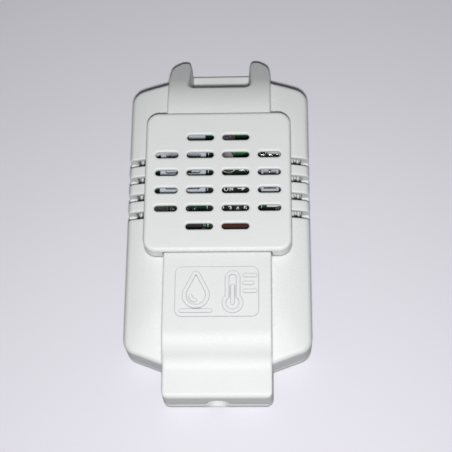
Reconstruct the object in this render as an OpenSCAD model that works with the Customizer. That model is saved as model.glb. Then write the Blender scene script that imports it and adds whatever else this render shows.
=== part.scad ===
// Wall sensor for temperature and humidity: two-part case, louvred panel, and a board with screw terminal,
// numbered switch and sensing capsule. Millimetres. X runs across the case, Y along it towards the ears and
// Z out of the wall. The back lies on Z = 0 and the origin is the middle of the back.

/* [Case] */
// Length over ears and cable block
case_length = 121; // [119:0.5:125]
// Width over both wings
case_width = 60; // [59:0.5:64]
// Height from the back to the louvred panel
case_height = 20; // [19:0.1:22]
// Wall thickness of front cover and rear case
wall = 2; // [1.8:0.1:2.2]
// Height of the rear case's rim
rim_height = 3; // [2.8:0.1:3.2]
// Seam between rim and front cover
seam = 0.1; // [0.05:0.05:0.2]
// Fall of the wings towards their long edges
wing_fall = 2.4; // [2:0.1:2.8]
// Radius of the wings' corners in plan
wing_corner_radius = 5; // [4:0.5:6]

/* [Band] */
// Width of the raised band
band_width = 34.6; // [34:0.2:35.4]
// Rise of the band above the wings
band_rise = 3.3; // [3:0.1:3.5]
// Fall of the ramp from the band to the cable block
ramp_fall = 5.8; // [5.2:0.1:6.2]
// Width of the notch between the ears
notch_width = 21.2; // [20:0.2:21.6]
// Depth of the notch from the ear tips
notch_depth = 14.3; // [13.8:0.1:15]
// Height of the ear tips
ear_tip_height = 7.2; // [6.8:0.1:7.6]
// Radius of the cable hole
cable_radius = 3.4; // [3:0.1:3.5]
// Width of the raised field below the louvres
field_width = 26.6; // [25:0.2:28]
// Length of the raised field below the louvres
field_length = 16.6; // [16:0.1:17.2]
// Rise of the field above the band
field_rise = 0.4; // [0.2:0.1:0.6]

/* [Louvred panel] */
// Width of the panel
panel_width = 47.9; // [47.2:0.1:48.4]
// Length of the panel
panel_length = 49; // [48.4:0.1:49.6]
// Rise of the panel above the band
panel_rise = 1.7; // [1.5:0.1:1.9]
// Wall thickness of the panel's skirt
panel_wall = 1.8; // [1.6:0.1:2]
// Radius of the panel's corners
panel_corner_radius = 4.2; // [3.6:0.1:5]
// Rounding of the panel's front edge
panel_edge_radius = 1.2; // [0.6:0.1:1.4]
// Pitch of the slot rows
row_pitch = 6.3; // [6:0.05:6.4]
// Height of one slot
slot_height = 2.2; // [1.8:0.1:2.4]
// Length of a slot in the inner columns
inner_slot_length = 8.9; // [8.4:0.1:9.2]
// Length of a slot in the outer columns
outer_slot_length = 7.5; // [7:0.1:7.7]
// Radius of the pegs that hold panel and cover
peg_radius = 1.5; // [1.3:0.1:1.6]
// Clearance round pegs
peg_clearance = 0.06; // [0.05:0.01:0.1]

/* [Board] */
// Width of the board
board_width = 50; // [49:0.5:51]
// Length of the board
board_length = 68; // [67:0.5:69]
// Thickness of the board
board_thickness = 1.6; // [1.4:0.1:1.6]
// Room between the terminal and the band's inside
terminal_room = 0.7; // [0.5:0.1:0.9]
// Radius of the wall screw holes
wall_hole_radius = 2.25; // [2:0.05:2.6]
// Distance between the wall screw holes
wall_hole_spacing = 82; // [80:0.5:83]

/* [Terminal and switch] */
// Pitch of the terminal's poles
pole_pitch = 5.08; // [5:0.01:5.1]
// Radius of the clamp screws' shanks
clamp_screw_radius = 1.2; // [1:0.05:1.25]
// Clearance round the clamp screws
screw_clearance = 0.06; // [0.05:0.01:0.1]
// Pitch of the switch's sliders
slider_pitch = 2.54; // [2.5:0.01:2.6]
// Travel of a slider
slider_travel = 2; // [1.8:0.1:2]
// Clearance round a slider
slider_clearance = 0.12; // [0.1:0.01:0.15]

/* [Hidden] */
$fn = 64;

// Case: halves, heights and edges
half_length = case_length / 2;
half_width = case_width / 2;
half_band = band_width / 2;
cover_base = rim_height + seam;
band_height = case_height - panel_rise;
wing_height = band_height - band_rise;
wing_edge_height = wing_height - wing_fall;
block_height = band_height - ramp_fall;
crown_run = 6;
crown_x = half_width - crown_run;
crown_slope = wing_fall / crown_run;
crown_radius = 20;
end_run = 12;
end_radius = 40;
past_end = 1;
head_setback = 10.7;
head_slant = 4;
foot_setback = 10.9;
foot_slant = 4.8;
root = 0.5;
sliver = 0.05;

// Band: ears, ramp and cable block
notch_floor = half_length - notch_depth;
notch_radius = 2;
notch_draft = 1.1;
notch_slope = notch_draft / (band_height - cover_base);
lip_setback = 3.3;
lip_end = half_length - lip_setback;
lip_radius = 5;
tip_radius = 0.8;
tip_rounding = 0.194;
ear_run = 16.5;
ear_radius = 24;
ear_taper = [4.4, 7.5];
ear_side_radius = 12;
ear_corner_radius = 3.2;
ramp_setback = 18.4;
ramp_run = 7.4;
ramp_crest_radius = 12.8;
ramp_foot_radius = 13.6;
block_droop = 0.6;
block_edge_radius = 1.6;
block_corner_radius = 2.4;
least_radius = 0.4;
cable_web = 0.8;
cable_axis_height = cable_radius + cable_web;
cable_flare = 0.6;
cable_channel = 8.5;
field_gap = 4.85;
field_radius = 2;

// Louvred panel and the openings behind it
panel_middle = 10.25;
row_shift = -0.4;
rows_middle = panel_middle + row_shift;
panel_skirt = 9;
row_count = 6;
inner_slot_middle = 5.83;
outer_slot_middle = 16.85;
window_width = 42.4;
inner_window_width = 22.6;
window_margin = 1.26;
window_radius = 1.5;
flank_slot_lap = 1.25;
flank_slot_start = panel_width / 2 - flank_slot_lap;
flank_slot_drop = 2.6;
flank_rib = [0.9, 29];
flank_rib_lift = 0.5;
peg_x = 14.5;
peg_y = 16.5;
peg_stand = 1;

// Board and the posts under it
standoff_tail = 0.5;
terminal_height = 9;
board_bottom = band_height - wall - terminal_room - terminal_height - board_thickness;
board_top = board_bottom + board_thickness;
board_radius = 1.5;
board_post_radius = 2.6;
board_screw_inset = 3.5;
board_screw_x = board_width / 2 - board_screw_inset;
board_screw_rows = [-20, 30];
board_screw_radius = 0.84;
board_screw_clearance = 0.06;
board_screw_head = [2.1, 1.5];
board_screw_rise = [1, 0.4];
board_hole_radius = 1.3;
drive_slot = [2.2, 0.5, 0.6];
pin_tail = (board_bottom - wall) * standoff_tail;
hole_margin = 0.15;
post_inset = 8;
post_x = half_width - post_inset;
post_rows = [-40, 38.5];
post_radius = 2.8;
post_height = 5;
post_top = wall + post_height;
post_peg_length = 2.5;
socket_room = 0.5;
rail_size = [1, 60, 3];
rail_gap = 0.15;
collar_width = 2.2;
collar_height = 1;
wall_hole_middle = -2.5;

// Terminal
pole_count = 4;
terminal_margin = 0.5;
terminal_front = -board_length / 2;
terminal_depth = 8.4;
terminal_chamfer = [2.4, 3];
screw_setback = 4.2;
screw_head_radius = 1.9;
screw_head_rise = 6.95;
screw_head_height = 1.25;
screw_head_clearance = 0.2;
screw_well_rise = 6.9;
screw_slot = [0.5, 0.6];
screw_foot = 3.6;
clamp_size = [3.8, 5, 3.9];
clamp_rise = 0.5;
clamp_window = [2.6, 2.6];
clamp_wall = 0.5;
chamber_size = [4.2, 5.6, 5.7];
chamber_rise = 0.4;
core_entry = [3.4, 3];
core_entry_rise = 0.8;
tongue_size = [2.2, 5.8, 0.6];
tongue_rise = 2.9;
tongue_setback = 4.7;
tail_size = [1, 0.6];
tail_setback = 7.3;

// Switch
slider_count = 6;
switch_middle = [5, 7.4];
switch_size = [17.2, 9.8, 4.6];
switch_radius = 0.4;
slider_size = [1.2, 1.8, 1.5];
slider_knob = [1, 0.5];
slider_well_floor = 0.1;
slider_sink = 1.6;
switch_groove = [0.7, 0.3, 0.15];
switch_groove_y = -2.7;

// Sensing capsule
capsule_middle = [-12, 18];
capsule_size = [15.1, 20, 5.9];
capsule_radius = 1;
capsule_wall = 1.2;
capsule_foot = 0.1;
capsule_tab = [14, 7, 1.8];
capsule_tab_y = 11.5;
capsule_tab_hole = 1.4;
capsule_tab_hole_y = 12.5;
capsule_slot = [5.2, 1.5];
capsule_slot_x = 3.3;
capsule_slot_pitch = 2.9;
capsule_slot_rows = 6;
capsule_base_height = 1.2;
capsule_base_clearance = 0.1;
chip_size = [5, 6, 1.2];
chip_shift = 2;
chip_window_radius = 1.2;
chip_window_depth = 0.5;
header_pitch = 2.54;
header_count = 4;
header_pin = 0.6;
header_pin_rise = 0.8;
sensor_pin_y = -12.5;
sensor_pin_reach = 2.7;
sensor_pin_level = 0.2;

// Plug connector
connector_middle = [17, 15];
connector_size = [5.8, 12.4, 7];
connector_wall = 0.8;
connector_floor = 1.4;
connector_pitch = 2.5;
connector_count = 4;
connector_pin = 0.64;
connector_pin_rise = 5.9;
connector_pin_clearance = 0.08;
connector_notch = [3, 3];
connector_notch_y = 3.5;

// Chips and other board parts
package_lift = 0.1;
lead_thickness = 0.2;
controller_middle = [-9, -1.5];
controller_size = [7, 7, 1.4];
controller_lead = [0.37, 1, 0.8];
controller_lead_pitch = 0.8;
controller_side_leads = 8;
controller_mark = [2.4, 0.5, 0.1];
driver_middle = [-18.5, -9.5];
driver_size = [4.9, 3.9, 1.45];
driver_lead = [0.42, 1.05, 0.8];
driver_lead_pitch = 1.27;
driver_side_leads = 4;
regulator_middle = [17.5, -9.5];
regulator_size = [6.5, 3.5, 1.6];
regulator_lift = 0.05;
regulator_lead = [0.7, 1.7, 0.9];
regulator_lead_pitch = 2.3;
regulator_tab = 3;
crystal_middle = [-15, -16.5];
crystal_flange = [11.4, 4.9, 0.5];
crystal_can = [10.4, 3.9, 3.5];
crystal_edge = 0.05;
electrolytic_x = 2.9;
electrolytic_rows = [21.6, 28.2];
electrolytic_radius = 2.5;
electrolytic_neck = 0.25;
electrolytic_bead = [0.9, 1.1, 1.3, 1.5];
electrolytic_top = [6.1, 6.4, 6.3];
electrolytic_rim = 0.6;
film_middle = [4, -4.2];
film_size = [13, 5, 8];
film_radius = 0.8;
choke_middle = [6, -14.5];
choke_size = [7.3, 7.3, 4];
choke_radius = 1.2;
choke_groove = [2.4, 3, 0.6];
lamp_middle = [20, 3];
lamp_flange = [1.9, 1];
lamp_radius = 1.5;
lamp_dome = [3.2, 4, 4.5, 4.6];
lamp_dome_radii = [1.2, 0.6];
chip_pitch = 2.6;
resistor_size = [1.2, 2, 0.5];
resistor_rows = [[-21, -4], [12, 26], [-4, -21]];
resistor_counts = [3, 4, 4];
capacitor_size = [1.2, 2, 0.9];
capacitor_rows = [[-22, 1], [7.5, 21], [13, -15]];
capacitor_counts = [3, 2, 4];

// Plan of both wings, corners listed anticlockwise
wing_points = [
  [half_band, half_length - head_setback],
  [-half_band, half_length - head_setback],
  [-half_width, half_length - head_setback - head_slant],
  [-half_width, -half_length + foot_setback + foot_slant],
  [-half_band, -half_length + foot_setback],
  [half_band, -half_length + foot_setback],
  [half_width, -half_length + foot_setback + foot_slant],
  [half_width, half_length - head_setback - head_slant]
];
wing_radii = [0, 0, wing_corner_radius, wing_corner_radius, 0, 0, wing_corner_radius, wing_corner_radius];

// Outward normal of an edge in an anticlockwise outline
function edge_normal(p, q) = let (d = (q - p) / norm(q - p)) [d.y, -d.x];

// Outline moved inwards by a distance
function inset(points, by) =
  let (n = len(points))
  [for (i = [0 : n - 1])
    let (a = edge_normal(points[(i + n - 1) % n], points[i]))
    let (b = edge_normal(points[i], points[(i + 1) % n]))
    points[i] - (a + b) * by / (1 + a * b)];

// Angle between two directions, from -180 to 180
function turn(from, to) = ((to - from + 540) % 360) - 180;

// Points of the arc that rounds a corner, in steps of a few degrees
function corner_arc(p, q, s, r) =
  let (u = (p - q) / norm(p - q))
  let (v = (s - q) / norm(s - q))
  let (half = acos(u * v) / 2)
  let (middle = q + (u + v) / norm(u + v) * r / sin(half))
  let (first = q + u * r / tan(half) - middle)
  let (last = q + v * r / tan(half) - middle)
  let (start = atan2(first.y, first.x))
  let (sweep = turn(start, atan2(last.y, last.x)))
  let (n = ceil(abs(sweep) / (r < 4.5 ? 10 : 4)))
  [for (k = [0 : n]) middle + r * [cos(start + sweep * k / n), sin(start + sweep * k / n)]];

// Outline with each corner rounded by its own radius
module rounded_outline(points, radii) {
  n = len(points);
  polygon([for (i = [0 : n - 1])
    each radii[i] > 0
      ? corner_arc(points[(i + n - 1) % n], points[i], points[(i + 1) % n], radii[i])
      : [points[i]]]);
}

// Rectangle about the origin with round corners
module rounded_rectangle(size, radius) {
  a = size.x / 2;
  b = size.y / 2;
  rounded_outline([[a, b], [-a, b], [-a, -b], [a, -b]], [radius, radius, radius, radius]);
}

// Box on its base, centred in plan
module block(size, at) {
  translate([at.x - size.x / 2, at.y - size.y / 2, at.z]) cube(size);
}

// Slot with round ends, lying along X
module slot(length, height, depth) {
  linear_extrude(depth) rounded_rectangle([length, height], height / 2 - 0.01);
}

// Lowest face of the cover's outside, or of its room if inset by a wall
function form_base(by) = by > 0 ? cover_base - past_end : cover_base;

// Section across both wings with crowned front, inset by a wall and open past the flanks
module wing_section(by) {
  flank = half_width + past_end;
  flank_height = wing_height - (flank - crown_x) * crown_slope;
  across = [
    [-flank, -case_height], [flank, -case_height], [flank, flank_height], [crown_x, wing_height],
    [-crown_x, wing_height], [-flank, flank_height]
  ];
  rounded_outline(inset(across, by), [0, 0, 0, crown_radius - by, crown_radius - by, 0]);
}

// Section along both wings with falling ends, inset by a wall and open past the ends
module wing_side(by) {
  head = wing_points[0].y;
  foot = wing_points[4].y;
  end_height = wing_height - (end_run + past_end) * wing_fall / end_run;
  along = [
    [foot - past_end, -case_width], [head + past_end, -case_width], [head + past_end, end_height],
    [head - end_run, wing_height], [foot + end_run, wing_height], [foot - past_end, end_height]
  ];
  rounded_outline(inset(along, by), [0, 0, 0, end_radius - by, end_radius - by, 0]);
}

// Both wings as one crowned slab, inset by a wall
module wing_form(by) {
  intersection() {
    translate([0, 0, form_base(by)]) linear_extrude(case_height)
      rounded_outline(inset(wing_points, by), [for (r = wing_radii) max(0, r - by)]);
    rotate([90, 0, 0]) linear_extrude(2 * case_length, center = true) wing_section(by);
    rotate([90, 0, 90]) linear_extrude(2 * case_width, center = true) wing_side(by);
  }
}

// Raised band from the ear tips over the ramp to the cable block, inset by a wall
module band_form(by) {
  base = form_base(by) - by;
  tail = -half_length - sliver;
  side = [
    [tail, base], [lip_end, base], [half_length + tip_rounding, ear_tip_height],
    [half_length - ear_run, band_height], [-half_length + ramp_setback, band_height],
    [-half_length + ramp_setback - ramp_run, block_height], [tail, block_height - block_droop]
  ];
  tip_x = half_band - ear_taper.x;
  tip_y = half_length + least_radius;
  taper_y = half_length - ear_taper.y;
  plan = [
    [half_band, taper_y], [tip_x, tip_y], [-tip_x, tip_y], [-half_band, taper_y],
    [-half_band, -half_length], [half_band, -half_length]
  ];
  plan_radii = [
    ear_side_radius, ear_corner_radius, ear_corner_radius, ear_side_radius, block_corner_radius, block_corner_radius
  ];
  intersection() {
    rotate([90, 0, 90]) linear_extrude(2 * band_width, center = true)
      rounded_outline(inset(side, by), [
        0, 0, tip_radius, ear_radius - 1.5 * by, ramp_crest_radius - by, ramp_foot_radius + by,
        by > 0 ? 0 : block_edge_radius
      ]);
    linear_extrude(case_height)
      rounded_outline(inset(plan, by), [for (r = plan_radii) max(least_radius, r - by)]);
  }
}

// Notch between the ears with walls that lean in towards its base, grown by a wall
module notch_form(by) {
  a = notch_width / 2;
  base = a - band_height * notch_slope;
  crest = base + 2 * case_height * notch_slope;
  plan = [
    [a, half_length + notch_depth], [-a, half_length + notch_depth], [-a, notch_floor], [a, notch_floor]
  ];
  section = [[-base, 0], [base, 0], [crest, 2 * case_height], [-crest, 2 * case_height]];
  intersection() {
    linear_extrude(2 * case_height) rounded_outline(inset(plan, -by), [0, 0, notch_radius + by, notch_radius + by]);
    rotate([90, 0, 0]) linear_extrude(2 * case_length, center = true) polygon(inset(section, -by));
  }
}

// Outside of the front cover without louvres and field
module cover_form() {
  difference() {
    union() {
      wing_form(0);
      band_form(0);
    }
    notch_form(0);
  }
}

// Room inside the front cover
module cover_room() {
  difference() {
    union() {
      wing_form(wall);
      band_form(wall);
    }
    notch_form(wall);
  }
}

// Positions of the posts that locate the front cover
module at_posts() {
  for (x = [-post_x, post_x], y = post_rows) translate([x, y, 0]) children();
}

// Positions of the pegs under the louvred panel
module at_pegs() {
  for (x = [-peg_x, peg_x], y = [panel_middle - peg_y, panel_middle + peg_y]) translate([x, y, 0]) children();
}

// Positions of the board screws
module at_board_screws() {
  for (x = [-board_screw_x, board_screw_x], y = board_screw_rows) translate([x, y, 0]) children();
}

// Middle of a slot row
function row_y(i) = rows_middle + (i - (row_count - 1) / 2) * row_pitch;

// Cable hole with a flared mouth, shared by both shells, and its channel in the rear case's floor
module cable_hole() {
  translate([0, -half_length - past_end, cable_axis_height]) rotate([-90, 0, 0])
    cylinder(r = cable_radius, h = cable_channel + past_end);
  translate([0, -half_length - sliver / 5, cable_axis_height]) rotate([-90, 0, 0])
    cylinder(r1 = cable_radius + cable_flare, r2 = cable_radius, h = cable_flare);
}

// Openings in the front cover behind the louvres, a wide one and one for the rows above and below it
module louvre_windows() {
  translate([0, rows_middle, cover_base]) {
    linear_extrude(case_height) rounded_rectangle([window_width, (row_count - 2) * row_pitch], window_radius);
    linear_extrude(case_height)
      rounded_rectangle([inner_window_width, row_count * row_pitch + 2 * window_margin], window_radius);
  }
}

module front_cover() {
  color("GhostWhite")
  difference() {
    union() {
      difference() {
        cover_form();
        cover_room();
      }
      intersection() {
        union() {
          at_posts() translate([0, 0, post_top + seam]) cylinder(r = post_radius, h = case_height);
          for (side = [-1, 1])
            block([flank_rib.x + root, flank_rib.y, case_height],
              [side * (half_width - wall - (flank_rib.x - root) / 2), rows_middle, cover_base + flank_rib_lift]);
        }
        wing_form(wall / 2);
      }
      translate([0, panel_middle - panel_length / 2 - field_gap - field_length / 2, band_height - root])
        linear_extrude(root + field_rise) rounded_rectangle([field_width, field_length], field_radius);
    }
    at_posts() cylinder(r = peg_radius + peg_clearance, h = post_top + post_peg_length + socket_room);
    at_pegs() cylinder(r = peg_radius + peg_clearance, h = case_height);
    louvre_windows();
    for (side = [-1, 1], i = [1 : row_count - 2])
      block([half_width + past_end - flank_slot_start, slot_height, case_height],
        [side * (half_width + past_end + flank_slot_start) / 2, row_y(i), wing_edge_height - flank_slot_drop]);
    cable_hole();
  }
}

// Half the panel's extent in a direction
function panel_reach(turn) =
  (panel_width / 2 - panel_corner_radius) * abs(cos(turn))
  + (panel_length / 2 - panel_corner_radius) * abs(sin(turn)) + panel_corner_radius;

// Bar with a round-edged front, as wide as the panel in one direction
module panel_bar(turn) {
  reach = panel_reach(turn) + 0.4 * sliver;
  rotate([0, 0, turn]) rotate([90, 0, 0]) linear_extrude(3 * panel_length, center = true)
    rounded_outline(
      [[-reach, 0], [reach, 0], [reach, case_height], [-reach, case_height]],
      [0, 0, panel_edge_radius, panel_edge_radius]
    );
}

// Panel as a slab with a rounded front edge
module panel_slab() {
  intersection() {
    translate([0, 0, case_height - panel_skirt]) linear_extrude(case_height)
      rounded_rectangle([panel_width, panel_length], panel_corner_radius);
    panel_bar(0);
    panel_bar(45);
    panel_bar(90);
    panel_bar(135);
  }
}

// Slots of the louvred panel, with the outer columns missing in the first and last row
module panel_slots() {
  for (i = [0 : row_count - 1], side = [-1, 1]) translate([0, row_y(i), 0]) {
    translate([side * inner_slot_middle, 0, 0]) slot(inner_slot_length, slot_height, 2 * case_height);
    if (i > 0 && i < row_count - 1)
      translate([side * outer_slot_middle, 0, 0]) slot(outer_slot_length, slot_height, 2 * case_height);
  }
}

module vent_panel() {
  pocket = [panel_width - 2 * panel_wall, panel_length - 2 * panel_wall];
  peg_foot = band_height - wall - peg_stand;
  color("White")
  difference() {
    union() {
      difference() {
        translate([0, panel_middle, 0]) panel_slab();
        translate([0, panel_middle, 0]) linear_extrude(band_height)
          rounded_rectangle(pocket, panel_corner_radius - panel_wall);
        rotate([90, 0, 0]) linear_extrude(case_length, center = true) wing_section(0);
        block([band_width, case_length, band_height], [0, 0, 0]);
      }
      at_pegs() translate([0, 0, peg_foot]) cylinder(r = peg_radius, h = band_height - peg_foot + 4 * sliver);
    }
    panel_slots();
  }
}

module rear_case() {
  rail_x = half_width - wall - flank_rib.x - rail_gap - rail_size.x / 2;
  color("GhostWhite")
  difference() {
    union() {
      difference() {
        rear_plate(0, 0, rim_height, lip_end);
        difference() {
          rear_plate(wall, wall, rim_height, notch_floor - wall);
          notch_form(wall);
        }
      }
      translate([0, 0, wall - root]) {
        at_board_screws() cylinder(r = board_post_radius, h = board_bottom - wall + root);
        at_posts() cylinder(r = post_radius, h = post_height + root);
        at_posts() cylinder(r = peg_radius, h = post_height + post_peg_length + root);
        at_wall_holes() cylinder(r = wall_hole_radius + collar_width, h = collar_height + root);
        for (side = [-1, 1]) block(rail_size + [0, 0, root], [side * rail_x, 0, 0]);
      }
    }
    at_board_screws() translate([0, 0, wall - root])
      cylinder(r = board_screw_radius + board_screw_clearance, h = board_bottom);
    at_wall_holes() translate([0, 0, -past_end]) cylinder(r = wall_hole_radius, h = 2 * rim_height);
    cable_hole();
  }
}

// Plan of the rear case as a plate, inset by a wall
module rear_plate(by, from, height, end) {
  strip = [
    [half_band - by, end], [-half_band + by, end], [-half_band + by, -half_length + by],
    [half_band - by, -half_length + by]
  ];
  top = by > 0 ? least_radius : lip_radius;
  foot = max(least_radius, block_corner_radius - by);
  translate([0, 0, from]) {
    linear_extrude(height) rounded_outline(inset(wing_points, by), [for (r = wing_radii) max(0, r - by)]);
    linear_extrude(height) rounded_outline(strip, [top, top, foot, foot]);
  }
}

// Positions of the wall screw holes
module at_wall_holes() {
  for (side = [-1, 1]) translate([0, wall_hole_middle + side * wall_hole_spacing / 2, 0]) children();
}

module main_board() {
  tail_hole = [tail_size.x + 2 * hole_margin, tail_size.y + 2 * hole_margin, case_height];
  pin_hole = header_pin + 2 * hole_margin;
  color("DarkGreen")
  difference() {
    translate([0, 0, board_bottom]) linear_extrude(board_thickness)
      rounded_rectangle([board_width, board_length], board_radius);
    at_board_screws() cylinder(r = board_hole_radius, h = case_height);
    at_poles() block(tail_hole, [0, terminal_front + tail_setback, 0]);
    at_sensor_pins() block([pin_hole, pin_hole, case_height], [0, 0, 0]);
    at_connector_pins() block([pin_hole, pin_hole, case_height], [0, 0, 0]);
  }
}

module board_screws() {
  head_top = board_top + board_screw_rise[0] + board_screw_rise[1];
  color("Silver") at_board_screws() difference() {
    union() {
      translate([0, 0, wall + 4 * sliver]) cylinder(r = board_screw_radius, h = board_top - wall);
      translate([0, 0, board_top]) cylinder(r = board_screw_head[0], h = board_screw_rise[0]);
      translate([0, 0, board_top + board_screw_rise[0]])
        cylinder(r1 = board_screw_head[0], r2 = board_screw_head[1], h = board_screw_rise[1]);
    }
    block([drive_slot.x, drive_slot.y, 2 * drive_slot.z], [0, 0, head_top - drive_slot.z]);
    block([drive_slot.y, drive_slot.x, 2 * drive_slot.z], [0, 0, head_top - drive_slot.z]);
  }
}

// Positions of the terminal's poles, seen from the cable side
module at_poles() {
  for (i = [1 : pole_count]) translate([pole_x(i), 0, 0]) children();
}

// Middle of a pole
function pole_x(i) = (i - (pole_count + 1) / 2) * pole_pitch;

module terminal_housing() {
  width = pole_count * pole_pitch + terminal_margin;
  back = terminal_front + terminal_depth;
  top = board_top + terminal_height;
  section = [
    [back, board_top], [back, top], [terminal_front + terminal_chamfer.x, top],
    [terminal_front, top - terminal_chamfer.y], [terminal_front, board_top]
  ];
  well_radius = screw_head_radius + screw_head_clearance;
  tail_slot = [tongue_size.x + 2 * hole_margin, tail_size.y + 2 * hole_margin];
  color("SeaGreen")
  difference() {
    rotate([90, 0, 90]) linear_extrude(width, center = true) polygon(section);
    at_poles() translate([0, terminal_front, board_top]) {
      translate([0, screw_setback, screw_well_rise]) cylinder(r = well_radius, h = terminal_height);
      translate([0, screw_setback, chamber_size.z])
        cylinder(r = clamp_screw_radius + hole_margin, h = terminal_height);
      block(chamber_size, [0, screw_setback, chamber_rise]);
      block([core_entry.x, 2 * screw_setback - clamp_size.y, core_entry.y], [0, 0, core_entry_rise]);
      block([tail_slot.x, tail_slot.y, tongue_rise + 2 * tongue_size.z], [0, tail_setback, -sliver]);
    }
  }
}

module terminal_pins() {
  color("Silver") at_poles() translate([0, terminal_front, board_top]) union() {
    block(tongue_size, [0, tongue_setback, tongue_rise]);
    block([tail_size.x, tail_size.y, board_thickness + pin_tail + tongue_rise + tongue_size.z],
      [0, tail_setback, -board_thickness - pin_tail]);
  }
}

// Clamp screw of one pole
module terminal_screw(i) {
  head_top = screw_head_rise + screw_head_height;
  color("Silver") translate([pole_x(i), terminal_front + screw_setback, board_top]) difference() {
    union() {
      translate([0, 0, screw_foot]) cylinder(r = clamp_screw_radius, h = head_top - screw_foot - screw_slot.y);
      translate([0, 0, screw_head_rise]) cylinder(r = screw_head_radius, h = screw_head_height);
    }
    block([screw_slot.x, 3 * screw_head_radius, 2 * screw_slot.y], [0, 0, head_top - screw_slot.y]);
  }
}

// Rising clamp of one pole
module terminal_clamp(i) {
  color("Goldenrod") translate([pole_x(i), terminal_front + screw_setback, board_top]) difference() {
    block(clamp_size, [0, 0, clamp_rise]);
    block([clamp_window.x, 2 * clamp_size.y, clamp_window.y], [0, 0, clamp_rise + clamp_wall]);
    cylinder(r = clamp_screw_radius + screw_clearance, h = terminal_height);
  }
}

// Positions of the switch's sliders
module at_sliders() {
  for (i = [1 : slider_count]) translate(slider_at(i)) children();
}

// Middle of a slider's well
function slider_at(i) = [switch_middle.x + (i - (slider_count + 1) / 2) * slider_pitch, switch_middle.y, 0];

module switch_body() {
  top = board_top + switch_size.z;
  well = [slider_size.x + 2 * slider_clearance, slider_size.y + slider_travel + 2 * slider_clearance];
  color("DimGray")
  difference() {
    translate([switch_middle.x, switch_middle.y, board_top]) linear_extrude(switch_size.z)
      rounded_rectangle([switch_size.x, switch_size.y], switch_radius);
    at_sliders()
      block([well.x, well.y, 2 * slider_sink], [0, 0, top - slider_sink - slider_well_floor]);
    block([switch_size.x - 2 * switch_groove.x, switch_groove.y, 2 * switch_groove.z],
      [switch_middle.x, switch_middle.y + switch_groove_y, top - switch_groove.z]);
  }
}

// Slider of one way, standing at the numbered side
module switch_slider(i) {
  foot = board_top + switch_size.z - slider_sink;
  color("White") translate(slider_at(i)) translate([0, -slider_travel / 2, foot]) union() {
    block(slider_size, [0, 0, 0]);
    block([slider_size.x, slider_knob.x, slider_knob.y], [0, 0, slider_size.z]);
  }
}

// Places of a number of things in a row about its middle
function row(count, pitch) = [for (i = [0 : count - 1]) (i - (count - 1) / 2) * pitch];

// Positions of the sensing capsule's pins
module at_sensor_pins() {
  for (x = row(header_count, header_pitch))
    translate([capsule_middle.x + x, capsule_middle.y + sensor_pin_y, 0]) children();
}

// The sensing capsule's own frame, on the board
module at_capsule() {
  translate([capsule_middle.x, capsule_middle.y, board_top + capsule_foot]) children();
}

module sensor_shell() {
  room = [capsule_size.x - 2 * capsule_wall, capsule_size.y - 2 * capsule_wall];
  color("White") at_capsule() difference() {
    union() {
      linear_extrude(capsule_size.z) rounded_rectangle([capsule_size.x, capsule_size.y], capsule_radius);
      translate([0, capsule_tab_y, 0]) linear_extrude(capsule_tab.z)
        rounded_rectangle([capsule_tab.x, capsule_tab.y], capsule_radius);
    }
    block([room.x, room.y, 2 * (capsule_size.z - capsule_wall)], [0, 0, -capsule_size.z + capsule_wall]);
    for (x = [-capsule_slot_x, capsule_slot_x], y = row(capsule_slot_rows, capsule_slot_pitch))
      translate([x, y, 0]) slot(capsule_slot.x, capsule_slot.y, case_height);
    translate([0, capsule_tab_hole_y, -past_end]) cylinder(r = capsule_tab_hole, h = case_height);
  }
}

module sensor_base() {
  inset = 2 * (capsule_wall + capsule_base_clearance);
  color("Gainsboro") at_capsule()
    block([capsule_size.x - inset, capsule_size.y - inset, capsule_base_height], [0, 0, 0]);
}

module sensor_chip() {
  color("DarkSlateGray") at_capsule() translate([0, chip_shift, capsule_base_height]) difference() {
    block(chip_size, [0, 0, 0]);
    translate([0, 0, chip_size.z - chip_window_depth]) cylinder(r = chip_window_radius, h = chip_size.z);
  }
}

module sensor_pins() {
  color("Silver") at_sensor_pins() union() {
    block([header_pin, header_pin, pin_tail + board_thickness + header_pin_rise], [0, 0, board_bottom - pin_tail]);
    block([header_pin, sensor_pin_reach, header_pin],
      [0, (sensor_pin_reach - header_pin) / 2, board_top + sensor_pin_level]);
  }
}

// Positions of the plug connector's pins
module at_connector_pins() {
  for (y = row(connector_count, connector_pitch))
    translate([connector_middle.x, connector_middle.y + y, 0]) children();
}

module connector_housing() {
  pin_hole = connector_pin + 2 * connector_pin_clearance;
  notch_rise = connector_size.z - connector_notch.x;
  color("Ivory")
  difference() {
    translate([connector_middle.x, connector_middle.y, board_top]) difference() {
      block(connector_size, [0, 0, 0]);
      block([connector_size.x - 2 * connector_wall, connector_size.y - 2 * connector_wall, connector_size.z],
        [0, 0, connector_floor]);
      for (y = [-connector_notch_y, connector_notch_y])
        block([connector_notch.y, connector_notch.y, connector_size.z], [connector_size.x / 2, y, notch_rise]);
    }
    at_connector_pins() block([pin_hole, pin_hole, case_height], [0, 0, 0]);
  }
}

module connector_pins() {
  color("Silver") at_connector_pins()
    block([connector_pin, connector_pin, pin_tail + board_thickness + connector_pin_rise],
      [0, 0, board_bottom - pin_tail]);
}

// Gull-wing lead pointing along Y, its foot on the board, of a width, a reach and a height
module lead(size) {
  rotate([90, 0, 90]) linear_extrude(size[0], center = true) polygon([
    [0, size[2]], [0, size[2] - lead_thickness], [size[1] * 0.35, size[2] - lead_thickness], [size[1] * 0.45, 0],
    [size[1], 0], [size[1], lead_thickness], [size[1] * 0.6, lead_thickness], [size[1] * 0.5, size[2]]
  ]);
}

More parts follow.
